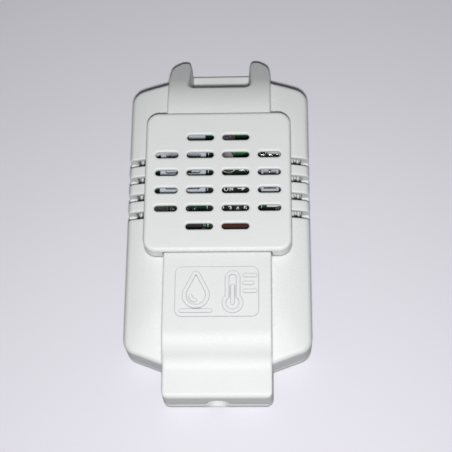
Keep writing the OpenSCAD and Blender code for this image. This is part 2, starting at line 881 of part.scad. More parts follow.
module controller() {
  mark = [controller_middle.x - controller_mark[0], controller_middle.y + controller_mark[0]];
  color("DarkSlateGray") difference() {
    block(controller_size, [controller_middle.x, controller_middle.y, board_top + package_lift]);
    translate([mark.x, mark.y, board_top + package_lift + controller_size.z - controller_mark[2]])
      cylinder(r = controller_mark[1], h = past_end);
  }
}

module controller_leads() {
  color("Silver") translate([controller_middle.x, controller_middle.y, board_top])
    for (turn = [0 : 90 : 270], x = row(controller_side_leads, controller_lead_pitch))
      rotate([0, 0, turn]) translate([x, controller_size.y / 2, 0]) lead(controller_lead);
}

module line_driver() {
  color("DarkSlateGray") block(driver_size, [driver_middle.x, driver_middle.y, board_top + package_lift]);
}

module driver_leads() {
  color("Silver") translate([driver_middle.x, driver_middle.y, board_top])
    for (turn = [0, 180], x = row(driver_side_leads, driver_lead_pitch))
      rotate([0, 0, turn]) translate([x, driver_size.y / 2, 0]) lead(driver_lead);
}

module regulator() {
  color("DarkSlateGray")
    block(regulator_size, [regulator_middle.x, regulator_middle.y, board_top + regulator_lift]);
}

module regulator_leads() {
  color("Silver") translate([regulator_middle.x, regulator_middle.y, board_top]) {
    for (x = [-regulator_lead_pitch, 0, regulator_lead_pitch])
      translate([x, -regulator_size.y / 2, 0]) rotate([0, 0, 180]) lead(regulator_lead);
    translate([0, regulator_size.y / 2, 0]) lead([regulator_tab, regulator_lead[1], regulator_lead[2]]);
  }
}

// Metal can with an oval plan on its flange
module crystal() {
  color("Gainsboro") translate([crystal_middle.x, crystal_middle.y, board_top]) union() {
    for (size = [crystal_flange, crystal_can])
      linear_extrude(size.z) rounded_rectangle([size.x, size.y], size.y / 2 - crystal_edge);
  }
}

module electrolytic_capacitors() {
  r = electrolytic_radius;
  neck = r - electrolytic_neck;
  bead = electrolytic_bead;
  top = electrolytic_top;
  color("SaddleBrown") for (y = electrolytic_rows) translate([electrolytic_x, y, board_top])
    rotate_extrude() polygon([
      [0, 0], [r, 0], [r, bead[0]], [neck, bead[1]], [neck, bead[2]], [r, bead[3]], [r, top[0]], [neck, top[1]],
      [r - electrolytic_rim, top[2]], [0, top[2]]
    ]);
}

module film_capacitor() {
  color("Maroon") translate([film_middle.x, film_middle.y, board_top]) linear_extrude(film_size.z)
    rounded_rectangle([film_size.x, film_size.y], film_radius);
}

module power_choke() {
  groove = [
    [choke_groove[0], choke_size.z - choke_groove[2]], [choke_groove[1], choke_size.z - choke_groove[2]],
    [choke_groove[1], choke_size.z + past_end], [choke_groove[0], choke_size.z + past_end]
  ];
  color("DarkSlateGray") translate([choke_middle.x, choke_middle.y, board_top]) difference() {
    linear_extrude(choke_size.z) rounded_rectangle([choke_size.x, choke_size.y], choke_radius);
    rotate_extrude() polygon(groove);
  }
}

module status_lamp() {
  dome = lamp_dome;
  color("PaleGreen") translate([lamp_middle.x, lamp_middle.y, board_top]) rotate_extrude() polygon([
    [0, 0], [lamp_flange.x, 0], [lamp_flange.x, lamp_flange.y], [lamp_radius, lamp_flange.y],
    [lamp_radius, dome[0]], [lamp_dome_radii[0], dome[1]], [lamp_dome_radii[1], dome[2]], [0, dome[3]]
  ]);
}

// Row of small chips along X
module chip_row(at, count, size) {
  for (i = [0 : count - 1]) block(size, [at.x + i * chip_pitch, at.y, board_top]);
}

module chip_resistors() {
  color("DimGray")
    for (i = [0 : len(resistor_rows) - 1]) chip_row(resistor_rows[i], resistor_counts[i], resistor_size);
}

module chip_capacitors() {
  color("Tan")
    for (i = [0 : len(capacitor_rows) - 1]) chip_row(capacitor_rows[i], capacitor_counts[i], capacitor_size);
}

rear_case();
front_cover();
vent_panel();
main_board();
board_screws();
terminal_housing();
terminal_pins();
terminal_screw(1);  // terminal_screw_1
terminal_screw(2);  // terminal_screw_2
terminal_screw(3);  // terminal_screw_3
terminal_screw(4);  // terminal_screw_4
terminal_clamp(1);  // terminal_clamp_1
terminal_clamp(2);  // terminal_clamp_2
terminal_clamp(3);  // terminal_clamp_3
terminal_clamp(4);  // terminal_clamp_4
switch_body();
switch_slider(1);  // switch_slider_1
switch_slider(2);  // switch_slider_2
switch_slider(3);  // switch_slider_3
switch_slider(4);  // switch_slider_4
switch_slider(5);  // switch_slider_5
switch_slider(6);  // switch_slider_6
sensor_shell();
sensor_base();
sensor_chip();
sensor_pins();
connector_housing();
connector_pins();
controller();
controller_leads();
line_driver();
driver_leads();
regulator();
regulator_leads();
crystal();
electrolytic_capacitors();
film_capacitor();
power_choke();
status_lamp();
chip_resistors();
chip_capacitors();
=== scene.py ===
"""Looks of a wall sensor for temperature and humidity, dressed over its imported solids."""

from __future__ import annotations

import logging
import math
from dataclasses import dataclass, field
from enum import Enum
from functools import reduce
from typing import Any, Callable, Sequence

import bpy
import numpy as np
from mathutils import Matrix, Vector


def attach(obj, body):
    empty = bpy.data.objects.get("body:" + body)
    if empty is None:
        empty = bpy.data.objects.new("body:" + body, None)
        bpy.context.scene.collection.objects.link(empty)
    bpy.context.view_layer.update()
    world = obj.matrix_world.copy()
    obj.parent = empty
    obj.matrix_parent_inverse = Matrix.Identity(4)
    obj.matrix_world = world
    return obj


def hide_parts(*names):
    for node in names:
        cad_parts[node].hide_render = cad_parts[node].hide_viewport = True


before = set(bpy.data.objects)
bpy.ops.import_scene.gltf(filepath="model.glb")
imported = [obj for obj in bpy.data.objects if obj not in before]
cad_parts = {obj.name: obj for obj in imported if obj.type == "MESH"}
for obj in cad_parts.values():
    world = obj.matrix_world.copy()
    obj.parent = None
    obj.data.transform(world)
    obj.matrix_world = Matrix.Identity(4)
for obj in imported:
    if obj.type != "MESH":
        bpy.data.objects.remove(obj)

log = logging.getLogger("wall_sensor")

MM = 0.001
PHOTO_PIXELS = 452
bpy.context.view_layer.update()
# Squared length of two directions' sum below which a stroke's corner is cut short
SHARPEST_CORNER = 1.1
MERGE_MM = 0.002
FLAT_DEG = 0.4
BEVEL_DEG = 28.0

Colour = tuple[float, float, float, float]
Point = tuple[float, float]
Triple = tuple[float, float, float]
Array = np.ndarray
Form = Callable[[Array, Array, Array], Array]
Sockets = dict[Any, Any]
Tree = bpy.types.NodeTree
Socket = bpy.types.NodeSocket


class Body(str, Enum):
    """Bodies of the frame that the modelled pieces ride on."""

    BASE = "base"
    COVER = "cover"


def linear(colour: str) -> Colour:
    """Turns an sRGB hex colour into linear light.

    Args:
        colour: Six hex digits after a hash sign.

    Returns:
        Linear red, green, blue and an alpha of one.
    """
    channels = [int(colour[i:i + 2], 16) / 255 for i in (1, 3, 5)]
    light = [c / 12.92 if c <= 0.04045 else ((c + 0.055) / 1.055) ** 2.4 for c in channels]
    return (light[0], light[1], light[2], 1.0)


def per_mm(size: float) -> float:
    """Gives the texture scale at which one period measures a size in millimetres."""
    return 1.0 / (size * MM)


def add_node(
    tree: Tree, kind: str, sockets: Sockets | None = None, links: Sockets | None = None, **settings: Any
) -> bpy.types.Node:
    """Adds a node with its settings, socket values and incoming links.

    Args:
        tree: Node tree that gets the node.
        kind: Blender's name for the kind of node.
        sockets: Values by input socket.
        links: Output sockets by the input socket that they feed.
        **settings: The node's own properties.

    Returns:
        The new node.
    """
    node = tree.nodes.new(kind)
    for name, value in settings.items():
        setattr(node, name, value)
    for key, value in (sockets or {}).items():
        node.inputs[key].default_value = value
    for key, source in (links or {}).items():
        tree.links.new(source, node.inputs[key])
    return node


@dataclass(frozen=True)
class Finish:
    """A surface finish: colours, gloss and the fine relief that the making leaves."""

    name: str
    colour: str
    shade: str
    mottle_mm: float = 6.0
    grain_mm: float = 0.3
    relief_mm: float = 0.01
    roughness: float = 0.5
    gloss_spread: float = 0.08
    metallic: float = 0.0
    ior: float = 1.5
    coat: float = 0.0
    transmission: float = 0.0
    stretch: Triple = (1.0, 1.0, 1.0)

    def build(self) -> bpy.types.Material:
        """Builds the material once and gives the same one afterwards.

        Returns:
            The finish as a procedural material.
        """
        known = bpy.data.materials.get(self.name)
        if known:
            return known
        material = bpy.data.materials.new(self.name)
        material.use_nodes = True
        tree = material.node_tree
        tree.nodes.clear()
        place = add_node(tree, "ShaderNodeTexCoord").outputs["Object"]
        drawn = add_node(tree, "ShaderNodeMapping", {"Scale": self.stretch}, {"Vector": place}).outputs[0]
        slow = {"Scale": per_mm(self.mottle_mm), "Detail": 4.0}
        mottle = add_node(tree, "ShaderNodeTexNoise", slow, {"Vector": place}).outputs["Fac"]
        fine = {"Scale": per_mm(self.grain_mm), "Detail": 2.0}
        grain = add_node(tree, "ShaderNodeTexNoise", fine, {"Vector": drawn}).outputs["Fac"]
        limits = {"To Min": self.roughness - self.gloss_spread, "To Max": self.roughness + self.gloss_spread}
        gloss = add_node(tree, "ShaderNodeMapRange", limits, {"Value": grain})
        depth = {"Distance": self.relief_mm * MM, "Strength": 1.0}
        relief = add_node(tree, "ShaderNodeBump", depth, {"Height": grain})
        tones = {6: linear(self.colour), 7: linear(self.shade)}
        plain = add_node(tree, "ShaderNodeMix", tones, {0: mottle}, data_type="RGBA").outputs[2]
        sockets: Sockets = {
            "Metallic": self.metallic, "Coat Weight": self.coat, "Transmission Weight": self.transmission}
        if not self.metallic:
            sockets["IOR"] = self.ior
        shader = add_node(
            tree, "ShaderNodeBsdfPrincipled", sockets,
            {"Base Color": self.tint(tree, plain), "Roughness": gloss.outputs["Result"],
             "Normal": relief.outputs["Normal"]})
        add_node(tree, "ShaderNodeOutputMaterial", links={"Surface": shader.outputs["BSDF"]})
        return material

    def tint(self, tree: Tree, plain: Socket) -> Socket:
        """Keeps the plain tone, which other kinds of finish change."""
        return plain


@dataclass(frozen=True)
class MouldedFinish(Finish):
    """A moulded plastic whose tone deepens in narrow seams, with painted shade where little light reaches and
    dust that stays there.
    """

    seam_shade_and_dust: str = "#7d848b"
    seam_mm: float = 0.7
    shade_and_dust_below: float = 0.45
    open_above: float = 0.9

    def tint(self, tree: Tree, plain: Socket) -> Socket:
        """Darkens the plain tone where little of the open shows, as painted shade and dust in seams and
        hollows.

        Args:
            tree: The material's node tree.
            plain: The tone without the painted shade and dust.

        Returns:
            The colour for the shader.
        """
        # Ambient occlusion finds the narrow seams and hollows, where painted shade and dust darken the tone
        share = add_node(tree, "ShaderNodeAmbientOcclusion", {"Distance": self.seam_mm * MM}).outputs["AO"]
        limits = {"From Min": self.shade_and_dust_below, "From Max": self.open_above}
        open_weight = add_node(tree, "ShaderNodeMapRange", limits, {"Value": share}).outputs["Result"]
        links = {0: open_weight, 7: plain}
        return add_node(tree, "ShaderNodeMix", {6: linear(self.seam_shade_and_dust)}, links, data_type="RGBA").outputs[2]


def seen_directly(tree: Tree) -> Socket:
    """Tells sight lines, mirrored and bent ones too, from scattered light.

    Args:
        tree: Node tree that gets the nodes.

    Returns:
        One for a sight line, else zero.
    """
    path = add_node(tree, "ShaderNodeLightPath").outputs
    direct = path["Is Camera Ray"]
    for kind in ("Is Glossy Ray", "Is Transmission Ray"):
        links = {0: direct, 1: path[kind]}
        direct = add_node(tree, "ShaderNodeMath", links=links, operation="ADD", use_clamp=True).outputs[0]
    return direct


@dataclass(frozen=True)
class BackdropFinish(Finish):
    """A paper backdrop that throws less light back than it shows and runs out into a pale distance."""

    bounce: str = "#626166"
    distance: str = "#b4b3bb"
    near_mm: float = 125.0
    far_mm: float = 420.0

    def build(self) -> bpy.types.Material:
        """Builds the paper and lets it run out into the distance.

        Returns:
            The finish as a procedural material.
        """
        material = super().build()
        tree = material.node_tree
        place = add_node(tree, "ShaderNodeTexCoord").outputs["Object"]
        away = add_node(tree, "ShaderNodeVectorMath", links={0: place}, operation="LENGTH").outputs["Value"]
        limits = {"From Min": self.near_mm * MM, "From Max": self.far_mm * MM}
        far = add_node(tree, "ShaderNodeMapRange", limits, {"Value": away}, interpolation_type="SMOOTHSTEP")
        links = {0: far.outputs["Result"], 1: seen_directly(tree)}
        share = add_node(tree, "ShaderNodeMath", links=links, operation="MULTIPLY")
        glow = add_node(tree, "ShaderNodeEmission", {"Color": linear(self.distance)})
        surface = next(n for n in tree.nodes if n.bl_idname == "ShaderNodeOutputMaterial").inputs["Surface"]
        links = {0: share.outputs[0], 1: surface.links[0].from_socket, 2: glow.outputs[0]}
        tree.links.new(add_node(tree, "ShaderNodeMixShader", links=links).outputs[0], surface)
        return material

    def tint(self, tree: Tree, plain: Socket) -> Socket:
        """Shows the paper's tone to the eye and a deeper one to scattered light."""
        links = {0: seen_directly(tree), 7: plain}
        return add_node(tree, "ShaderNodeMix", {6: linear(self.bounce)}, links, data_type="RGBA").outputs[2]


# ABS moulded in a spark-eroded tool: a matte, faintly cool white with a fine even grain, its seams darkened
# by painted shade and dust
CASE_ABS = MouldedFinish("moulded_abs_white", "#e3e5e4", "#dee0df", 9.0, 0.6, 0.07, 0.56, 0.12)


def rounded_outline(points: Sequence[Point], radii: Sequence[float], step_deg: float = 6.0) -> Array:
    """Rounds the corners of a flat outline, each by its own radius.

    Args:
        points: Corners in order.
        radii: Radius at each corner, none if zero.
        step_deg: Largest turn between two points of an arc.

    Returns:
        Points of the rounded outline, one row each.
    """
    outline: list[Array] = []
    corners = [np.array(p, float) for p in points]
    for i, (corner, radius) in enumerate(zip(corners, radii)):
        if radius <= 0:
            outline.append(corner)
            continue
        before = corners[i - 1] - corner
        after = corners[(i + 1) % len(corners)] - corner
        before /= np.linalg.norm(before)
        after /= np.linalg.norm(after)
        half = math.acos(float(before @ after)) / 2
        middle = corner + (before + after) / np.linalg.norm(before + after) * radius / math.sin(half)
        first = corner + before * radius / math.tan(half) - middle
        last = corner + after * radius / math.tan(half) - middle
        start = math.atan2(first[1], first[0])
        sweep = (math.atan2(last[1], last[0]) - start + 3 * math.pi) % (2 * math.pi) - math.pi
        count = max(2, math.ceil(abs(math.degrees(sweep)) / step_deg))
        turns = start + sweep * np.arange(count + 1) / count
        outline.extend(middle + radius * np.stack([np.cos(turns), np.sin(turns)], axis=1))
    return np.array(outline)


def outline_distance(outline: Array, u: Array, v: Array) -> Array:
    """Measures the distance to a closed outline, negative inside it.

    Args:
        outline: The outline's points, one row each.
        u: First coordinates.
        v: Second coordinates.

    Returns:
        Signed distances.
    """
    nearest = np.full(np.broadcast_shapes(u.shape, v.shape), np.inf)
    inside = np.zeros(nearest.shape, bool)
    for start, end in zip(outline, np.roll(outline, -1, axis=0)):
        along = end - start
        du, dv = u - start[0], v - start[1]
        share = np.clip((du * along[0] + dv * along[1]) / (along @ along), 0, 1)
        nearest = np.minimum(nearest, (du - along[0] * share) ** 2 + (dv - along[1] * share) ** 2)
        if along[1] != 0:
            inside ^= ((v >= start[1]) != (v >= end[1])) & (du < dv * along[0] / along[1])
    return np.where(inside, -1, 1) * np.sqrt(nearest)


def rectangle_distance(u: Array, v: Array, size: Point, radius: float) -> Array:
    """Measures the distance to a round-cornered rectangle about the origin, negative inside it."""
    a, b = np.abs(u) - size[0] / 2 + radius, np.abs(v) - size[1] / 2 + radius
    return np.hypot(np.maximum(a, 0), np.maximum(b, 0)) + np.minimum(np.maximum(a, b), 0) - radius


def soft_and(a: Array, b: Array, radius: float) -> Array:
    """Keeps what lies in both forms, with the edge between them rounded."""
    past = np.hypot(np.maximum(a + radius, 0), np.maximum(b + radius, 0))
    return np.minimum(-radius, np.maximum(a, b)) + past


def soft_or(a: Array, b: Array, radius: float) -> Array:
    """Joins two forms, with the valley between them filled by a fillet."""
    filled = np.hypot(np.maximum(radius - a, 0), np.maximum(radius - b, 0))
    return np.maximum(radius, np.minimum(a, b)) - filled


def common(*forms: Array) -> Array:
    """Keeps what lies in all the forms, with sharp edges."""
    return reduce(np.maximum, forms)


def joined(*forms: Array) -> Array:
    """Joins forms, with sharp valleys."""
    return reduce(np.minimum, forms)


def add_object(name: str, data: bpy.types.ID) -> bpy.types.Object:
    """Puts a mesh, lamp or camera into the scene.

    Args:
        name: Name of the object.
        data: What it shows.

    Returns:
        The new object.
    """
    thing = bpy.data.objects.new(name, data)
    bpy.context.collection.objects.link(thing)
    return thing


def link(name: str, mesh: bpy.types.Mesh, body: str, finish: Finish) -> bpy.types.Object:
    """Puts a mesh into the scene as a piece that rides on a body.

    Args:
        name: Name of the piece.
        mesh: Its mesh.
        body: Body that it rides on.
        finish: Its surface finish.

    Returns:
        The new object.
    """
    piece = add_object(name, mesh)
    mesh.materials.append(finish.build())
    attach(piece, body)
    log.info("%s: %d points in %s", name, len(mesh.vertices), finish.name)
    return piece


@dataclass
class Moulding:
    """A moulded form, given by its distance function and turned into one closed mesh."""

    name: str
    form: Form
    low_mm: Triple
    high_mm: Triple
    cell_mm: float = 0.45
    margin_cells: Point = (1.7, 2.4)
    probe_mm: float = 0.02
    settle_rounds: int = 2
    settle_cells: float = 0.4
    least_slope: float = 0.5
    kept_share: float = 0.4
    face_weight: int = 60

    def mesh(self) -> bpy.types.Mesh:
        """Samples the form on a grid and nets its surface.

        Returns:
            The surface as a mesh of quads.
        """
        before, after = self.margin_cells
        axes = [np.arange(a - before * self.cell_mm, b + after * self.cell_mm, self.cell_mm)
                for a, b in zip(self.low_mm, self.high_mm)]
        size = tuple(len(a) for a in axes)
        values = np.broadcast_to(self.form(axes[0][:, None, None], axes[1][None, :, None], axes[2]), size)
        inside = values < 0
        points, number = self.points(values, inside, np.array([a[0] for a in axes]))
        mesh = bpy.data.meshes.new(self.name)
        mesh.from_pydata((self.settle(points) * MM).tolist(), [], self.quads(inside, number).tolist())
        mesh.shade_smooth()
        return mesh

    def points(self, values: Array, inside: Array, origin: Array) -> tuple[Array, Array]:
        """Puts one point into each grid cell that the surface crosses.

        Args:
            values: Distances on the grid.
            inside: Which of them are negative.
            origin: First corner of the grid.

        Returns:
            The points, and each cell's point number.
        """
        size = tuple(n - 1 for n in values.shape)
        corners = [(i, j, k) for i in (0, 1) for j in (0, 1) for k in (0, 1)]
        windows = [tuple(slice(c, c + n) for c, n in zip(corner, size)) for corner in corners]
        filled = sum(inside[w].astype(np.int8) for w in windows)
        crossed = (filled > 0) & (filled < len(corners))
        number = np.full(size, -1)
        number[crossed] = np.arange(np.count_nonzero(crossed))
        depth = [values[w][crossed] for w in windows]
        total = np.zeros((len(depth[0]), 3))
        count = np.zeros(len(depth[0]))
        for a, first in enumerate(corners):
            for b, second in enumerate(corners):
                step = np.subtract(second, first)
                if step.sum() != 1 or np.abs(step).sum() != 1:
                    continue
                cuts = (depth[a] < 0) != (depth[b] < 0)
                share = np.where(cuts, depth[a] / np.where(cuts, depth[a] - depth[b], 1), 0)
                total += cuts[:, None] * (np.array(first) + share[:, None] * step)
                count += cuts
        return origin + (np.argwhere(crossed) + total / count[:, None]) * self.cell_mm, number

    def settle(self, points: Array) -> Array:
        """Moves the points onto the form's true surface.

        Args:
            points: Points near the surface.

        Returns:
            The moved points.
        """
        for _ in range(self.settle_rounds):
            off = self.form(*points.T)
            steps = self.probe_mm * np.eye(3)
            slope = np.stack([self.form(*(points + s).T) - off for s in steps], axis=1) / self.probe_mm
            move = slope * (off / np.maximum((slope ** 2).sum(axis=1), self.least_slope ** 2))[:, None]
            reach = np.maximum(np.linalg.norm(move, axis=1), 1e-9)
            points = points - move * np.minimum(1, self.settle_cells * self.cell_mm / reach)[:, None]
        return points

    def quads(self, inside: Array, number: Array) -> Array:
        """Spans a face across each grid edge that the surface crosses.

        Args:
            inside: Which grid corners lie inside the form.
            number: Each cell's point number.

        Returns:
            Four point numbers for each face.
        """
        faces = []
        for axis in range(3):
            start = inside.take(range(inside.shape[axis] - 1), axis)
            end = inside.take(range(1, inside.shape[axis]), axis)
            at = np.argwhere(start != end)
            outward = start[tuple(at.T)]
            u, v = np.eye(3, dtype=int)[[(axis + 1) % 3, (axis + 2) % 3]]
            ring = np.stack([number[tuple(c.T)] for c in (at, at - u, at - u - v, at - v)], axis=1)
            faces.append(np.where(outward[:, None], ring, ring[:, ::-1]))
        return np.concatenate(faces)

    def build(self, node: str, body: str, finish: Finish, slot: str) -> bpy.types.Object:
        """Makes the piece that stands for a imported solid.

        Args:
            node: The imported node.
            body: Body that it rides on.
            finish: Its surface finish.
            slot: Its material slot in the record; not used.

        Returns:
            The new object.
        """
        piece = link(self.name, self.mesh(), body, finish)
        piece.modifiers.new("fewer_faces", "DECIMATE").ratio = self.kept_share
        piece.modifiers.new("even_shading", "WEIGHTED_NORMAL").weight = self.face_weight
        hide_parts(node)
        return piece


def fall(past: Array, slope: float, run: float) -> Array:
    """Says how far a surface has fallen past the middle of a bend of half-length run into a slope."""
    share = np.clip((past + run) / (2 * run), 0, 1)
    return np.where(past > run, slope * past, slope * run * share ** 2)


@dataclass
class Housing:
    """Front cover, louvred panel and rear case with their softly moulded edges, in millimetres."""

    length: float = 121.0
    width: float = 60.0
    height: float = 20.0
    wall: float = 2.0
    rim_height: float = 3.0
    cover_base: float = 3.1
    below: float = -5.0
    wing_height: float = 14.4
    wing_edge: float = 1.4
    wing_corner: float = 5.0
    head_y: float = 49.8
    head_slant: float = 4.0
    foot_y: float = -49.6
    foot_slant: float = 4.8
    crown_x: float = 24.0
    crown_slope: float = 0.37
    crown_bend: float = 5.4
    crown_scale: float = 0.95
    end_run: float = 12.0
    end_slope: float = 0.15
    end_bend: float = 8.0
    band_width: float = 34.6
    band_height: float = 18.3
    band_edge: float = 0.55
    ear_tip: Point = (0.194, 7.2)
    ear_run: float = 16.5
    ear_plan: tuple[Point, ...] = ((0.0, -8.0), (-0.75, -2.9), (-4.7, 0.4))
    ear_radii: tuple[float, ...] = (20.0, 6.0, 4.0)
    ramp_top: float = 16.2
    ramp_foot: float = 11.6
    block_height: float = 12.5
    block_lean: Point = (0.45, 0.5)
    block_corner: float = 2.4
    # Roundings of the band's side view: ear tip, ear's back, ramp's crest and foot, block's edge
    side_radii: tuple[float, ...] = (0.8, 24.0, 8.9, 6.1, 1.6)
    side_draft: float = 0.035
    lip_end: float = 57.2
    lip_corner: float = 5.0
    strip_splay: float = 0.35
    notch_width: float = 21.8
    notch_floor: float = 46.1
    notch_corner: float = 2.5
    notch_slope: float = 1.1 / 15.2
    notch_edge: float = 0.8
    flare_run: float = 4.0
    flare_rate: float = 0.05
    panel_size: Point = (47.9, 49.0)
    panel_middle: float = 10.25
    panel_foot: float = 11.0
    panel_seam: float = 0.16
    panel_corner: float = 4.2
    panel_edge: float = 1.2
    panel_wall: float = 1.8
    pocket_corner: float = 2.4
    windows: tuple[Point, ...] = ((42.4, 25.2), (22.6, 40.32))
    window_corner: float = 1.5
    last_row: int = 5
    rows_middle: float = 9.85
    row_pitch: float = 6.3
    slot_height: float = 2.2
    slot_edge: float = 0.5
    inner_slot: Point = (5.83, 8.9)
    outer_slot: Point = (16.85, 7.5)
    flank_slot_start: float = 22.7
    flank_slot_floor: float = 8.4
    flank_slot_shift: float = 0.2
    flank_slot_half: float = 1.3
    rib_x: float = 27.3
    rib_half: float = 14.5
    rib_foot: float = 3.6
    fine_edge: float = 0.2
    soft_edge: float = 0.3
    rim_edge: float = 0.35
    peg_radius: float = 1.5
    peg_place: Point = (14.5, 16.5)
    peg_levels: Point = (15.3, 18.5)
    hole_radius: float = 1.56
    hole_top: float = 10.0
    post_x: float = 22.0
    post_rows: Point = (-40.0, 38.5)
    post_radius: float = 2.8
    post_top: float = 7.0
    post_peg_top: float = 9.5
    lug_foot: float = 7.1
    board_post_x: float = 21.5
    board_post_rows: Point = (-20.0, 30.0)
    board_post_radius: float = 2.6
    board_level: float = 5.0
    screw_hole_radius: float = 0.9
    floor_hold: float = 1.5
    wall_hole_middle: float = -2.5
    wall_hole_reach: float = 41.0
    wall_hole_radius: float = 2.25
    wall_hole_edge: float = 0.25
    collar_radius: float = 4.45
    rail_x: float = 26.45
    rail_half: Point = (0.5, 30.0)
    cable_radius: float = 3.4
    cable_height: float = 4.2
    cable_mouth: float = 0.6
    cable_depth: float = 8.5
    panel_cell: float = 0.33
    rear_cell: float = 0.5
    wing_plan: Array = field(init=False)
    band_side: Array = field(init=False)
    band_plan: Array = field(init=False)
    strip_plan: Array = field(init=False)

    def __post_init__(self) -> None:
        """Works out the outlines that the three mouldings share."""
        half, band, top = self.width / 2, self.band_width / 2, self.length / 2
        corner = self.wing_corner
        self.wing_plan = rounded_outline(
            [(band, self.head_y), (-band, self.head_y), (-half, self.head_y - self.head_slant),
             (-half, self.foot_y + self.foot_slant), (-band, self.foot_y), (band, self.foot_y),
             (half, self.foot_y + self.foot_slant), (half, self.head_y - self.head_slant)],
            [0, 0, corner, corner, 0, 0, corner, corner])
        lean, drop = self.block_lean
        self.band_side = rounded_outline(
            [(-top, self.below), (self.lip_end, self.below), (self.lip_end, self.cover_base),
             (top + self.ear_tip[0], self.ear_tip[1]), (top - self.ear_run, self.band_height),
             (-top + self.ramp_top, self.band_height), (-top + self.ramp_foot, self.block_height),
             (-top + lean, self.block_height - drop), (-top, self.cover_base)],
            [0, 0, 0, *self.side_radii, 0], step_deg=3.0)
        ear = [(band + x, top + y) for x, y in self.ear_plan]
        self.band_plan = rounded_outline(
            [*ear, *((-x, y) for x, y in reversed(ear)), (-band, -top), (band, -top)],
            [*self.ear_radii, *reversed(self.ear_radii), self.block_corner, self.block_corner])
        foot = band + self.strip_splay
        self.strip_plan = rounded_outline(
            [(band, self.lip_end), (-band, self.lip_end), (-foot, -top), (foot, -top)],
            [self.lip_corner, self.lip_corner, self.block_corner, self.block_corner])

    def body(self, x: Array, y: Array, z: Array) -> Array:
        """Measures to the cover's outside without the ears' notch and the openings.

        Args:
            x, y, z: Places in millimetres.

        Returns:
            Signed distances.
        """
        across = fall(np.abs(x) - self.crown_x, self.crown_slope, self.crown_bend)
        past = np.maximum(y - self.head_y, self.foot_y - y) + self.end_run
        along = fall(past, self.end_slope, self.end_bend)
        crown = (z - self.wing_height + np.hypot(across, along)) * self.crown_scale
        wing = soft_and(outline_distance(self.wing_plan, x, y), crown, self.wing_edge)
        splay = self.side_draft * np.maximum(self.block_height - z, 0)
        plan = outline_distance(self.band_plan, np.maximum(np.abs(x) - splay, 0), y)
        band = soft_and(plan, outline_distance(self.band_side, y, z), self.band_edge)
        return soft_or(wing, band, self.soft_edge)

    def cable_hole(self, x: Array, y: Array, z: Array) -> Array:
        """Measures to the cable hole with its flared mouth."""
        wall = np.hypot(x, z - self.cable_height) - self.cable_radius
        mouth = np.maximum(-self.length / 2 + self.cable_mouth - y, 0)
        return common(wall - mouth, y + self.length / 2 - self.cable_depth)

    def rows(self, y: Array, first: int, last: int) -> Array:
        """Measures along the case from the nearest of some slot rows."""
        row = np.clip(np.round((y - self.rows_middle) / self.row_pitch + self.last_row / 2), first, last)
        return np.abs(y - self.rows_middle - (row - self.last_row / 2) * self.row_pitch)

    def posts(self, x: Array, y: Array) -> Array:
        """Measures to the axis of the nearest cover post."""
        return np.hypot(np.abs(x) - self.post_x, joined(*(np.abs(y - row) for row in self.post_rows)))

    def pegs(self, x: Array, y: Array) -> Array:
        """Measures to the axis of the nearest panel peg."""
        return np.hypot(np.abs(x) - self.peg_place[0], np.abs(y - self.panel_middle) - self.peg_place[1])

    def cover(self, x: Array, y: Array, z: Array) -> Array:
        """Measures to the front cover.

        Args:
            x, y, z: Places in millimetres.

        Returns:
            Signed distances.
        """
        flare = self.flare_rate * np.maximum(y - self.length / 2 + self.flare_run, 0) ** 2
        lean = np.abs(x) - (self.notch_width / 2 + flare) + (self.band_height - z) * self.notch_slope
        notch = soft_and(lean, self.notch_floor - y, self.notch_corner)
        form = soft_and(self.body(x, y, z), -notch, self.notch_edge)
        posts, place = self.posts(x, y), y - self.rows_middle
        lug = common(posts - self.post_radius, self.lug_foot - z)
        rib = common(self.rib_x - np.abs(x), np.abs(place) - self.rib_half, self.rib_foot - z)
        shell = joined(common(form, -form - self.wall), common(joined(lug, rib), form + self.wall / 2))
        shell = common(shell, -common(posts - self.hole_radius, z - self.hole_top))
        shell = common(shell, self.hole_radius - self.pegs(x, y))
        window = joined(*(rectangle_distance(x, place, size, self.window_corner) for size in self.windows))
        shell = soft_and(shell, -window, self.soft_edge)
        rows = self.rows(y - self.flank_slot_shift, 1, self.last_row - 1)
        slot = common(
            self.flank_slot_start - np.abs(x), rows - self.flank_slot_half, self.flank_slot_floor - z)
        shell = soft_and(shell, -slot, self.rim_edge)
        shell = soft_and(shell, -self.cable_hole(x, y, z), self.fine_edge)
        return soft_and(shell, self.cover_base - z, self.fine_edge)

    def panel(self, x: Array, y: Array, z: Array) -> Array:
        """Measures to the louvred panel.

        Args:
            x, y, z: Places in millimetres.

        Returns:
            Signed distances.
        """
        place = y - self.panel_middle
        plan = rectangle_distance(x, place, self.panel_size, self.panel_corner)
        slab = soft_and(plan, z - self.height, self.panel_edge)
        slab = common(slab, self.panel_seam - self.body(x, y, z))
        pocket = (self.panel_size[0] - 2 * self.panel_wall, self.panel_size[1] - 2 * self.panel_wall)
        room = common(rectangle_distance(x, place, pocket, self.pocket_corner), z - self.band_height)
        slab = soft_and(slab, -room, self.fine_edge)
        low, high = self.peg_levels
        slab = joined(slab, common(self.pegs(x, y) - self.peg_radius, low - z, z - high))
        inner = self.slot(x, self.rows(y, 0, self.last_row), *self.inner_slot)
        outer = self.slot(x, self.rows(y, 1, self.last_row - 1), *self.outer_slot)
        return soft_and(slab, -joined(inner, outer), self.slot_edge)

    def slot(self, x: Array, v: Array, middle: float, length: float) -> Array:
        """Measures to the outlines of a pair of round-ended slots."""
        past = np.abs(np.abs(x) - middle) - length / 2 + self.slot_height / 2
        return np.hypot(np.maximum(past, 0), v) - self.slot_height / 2

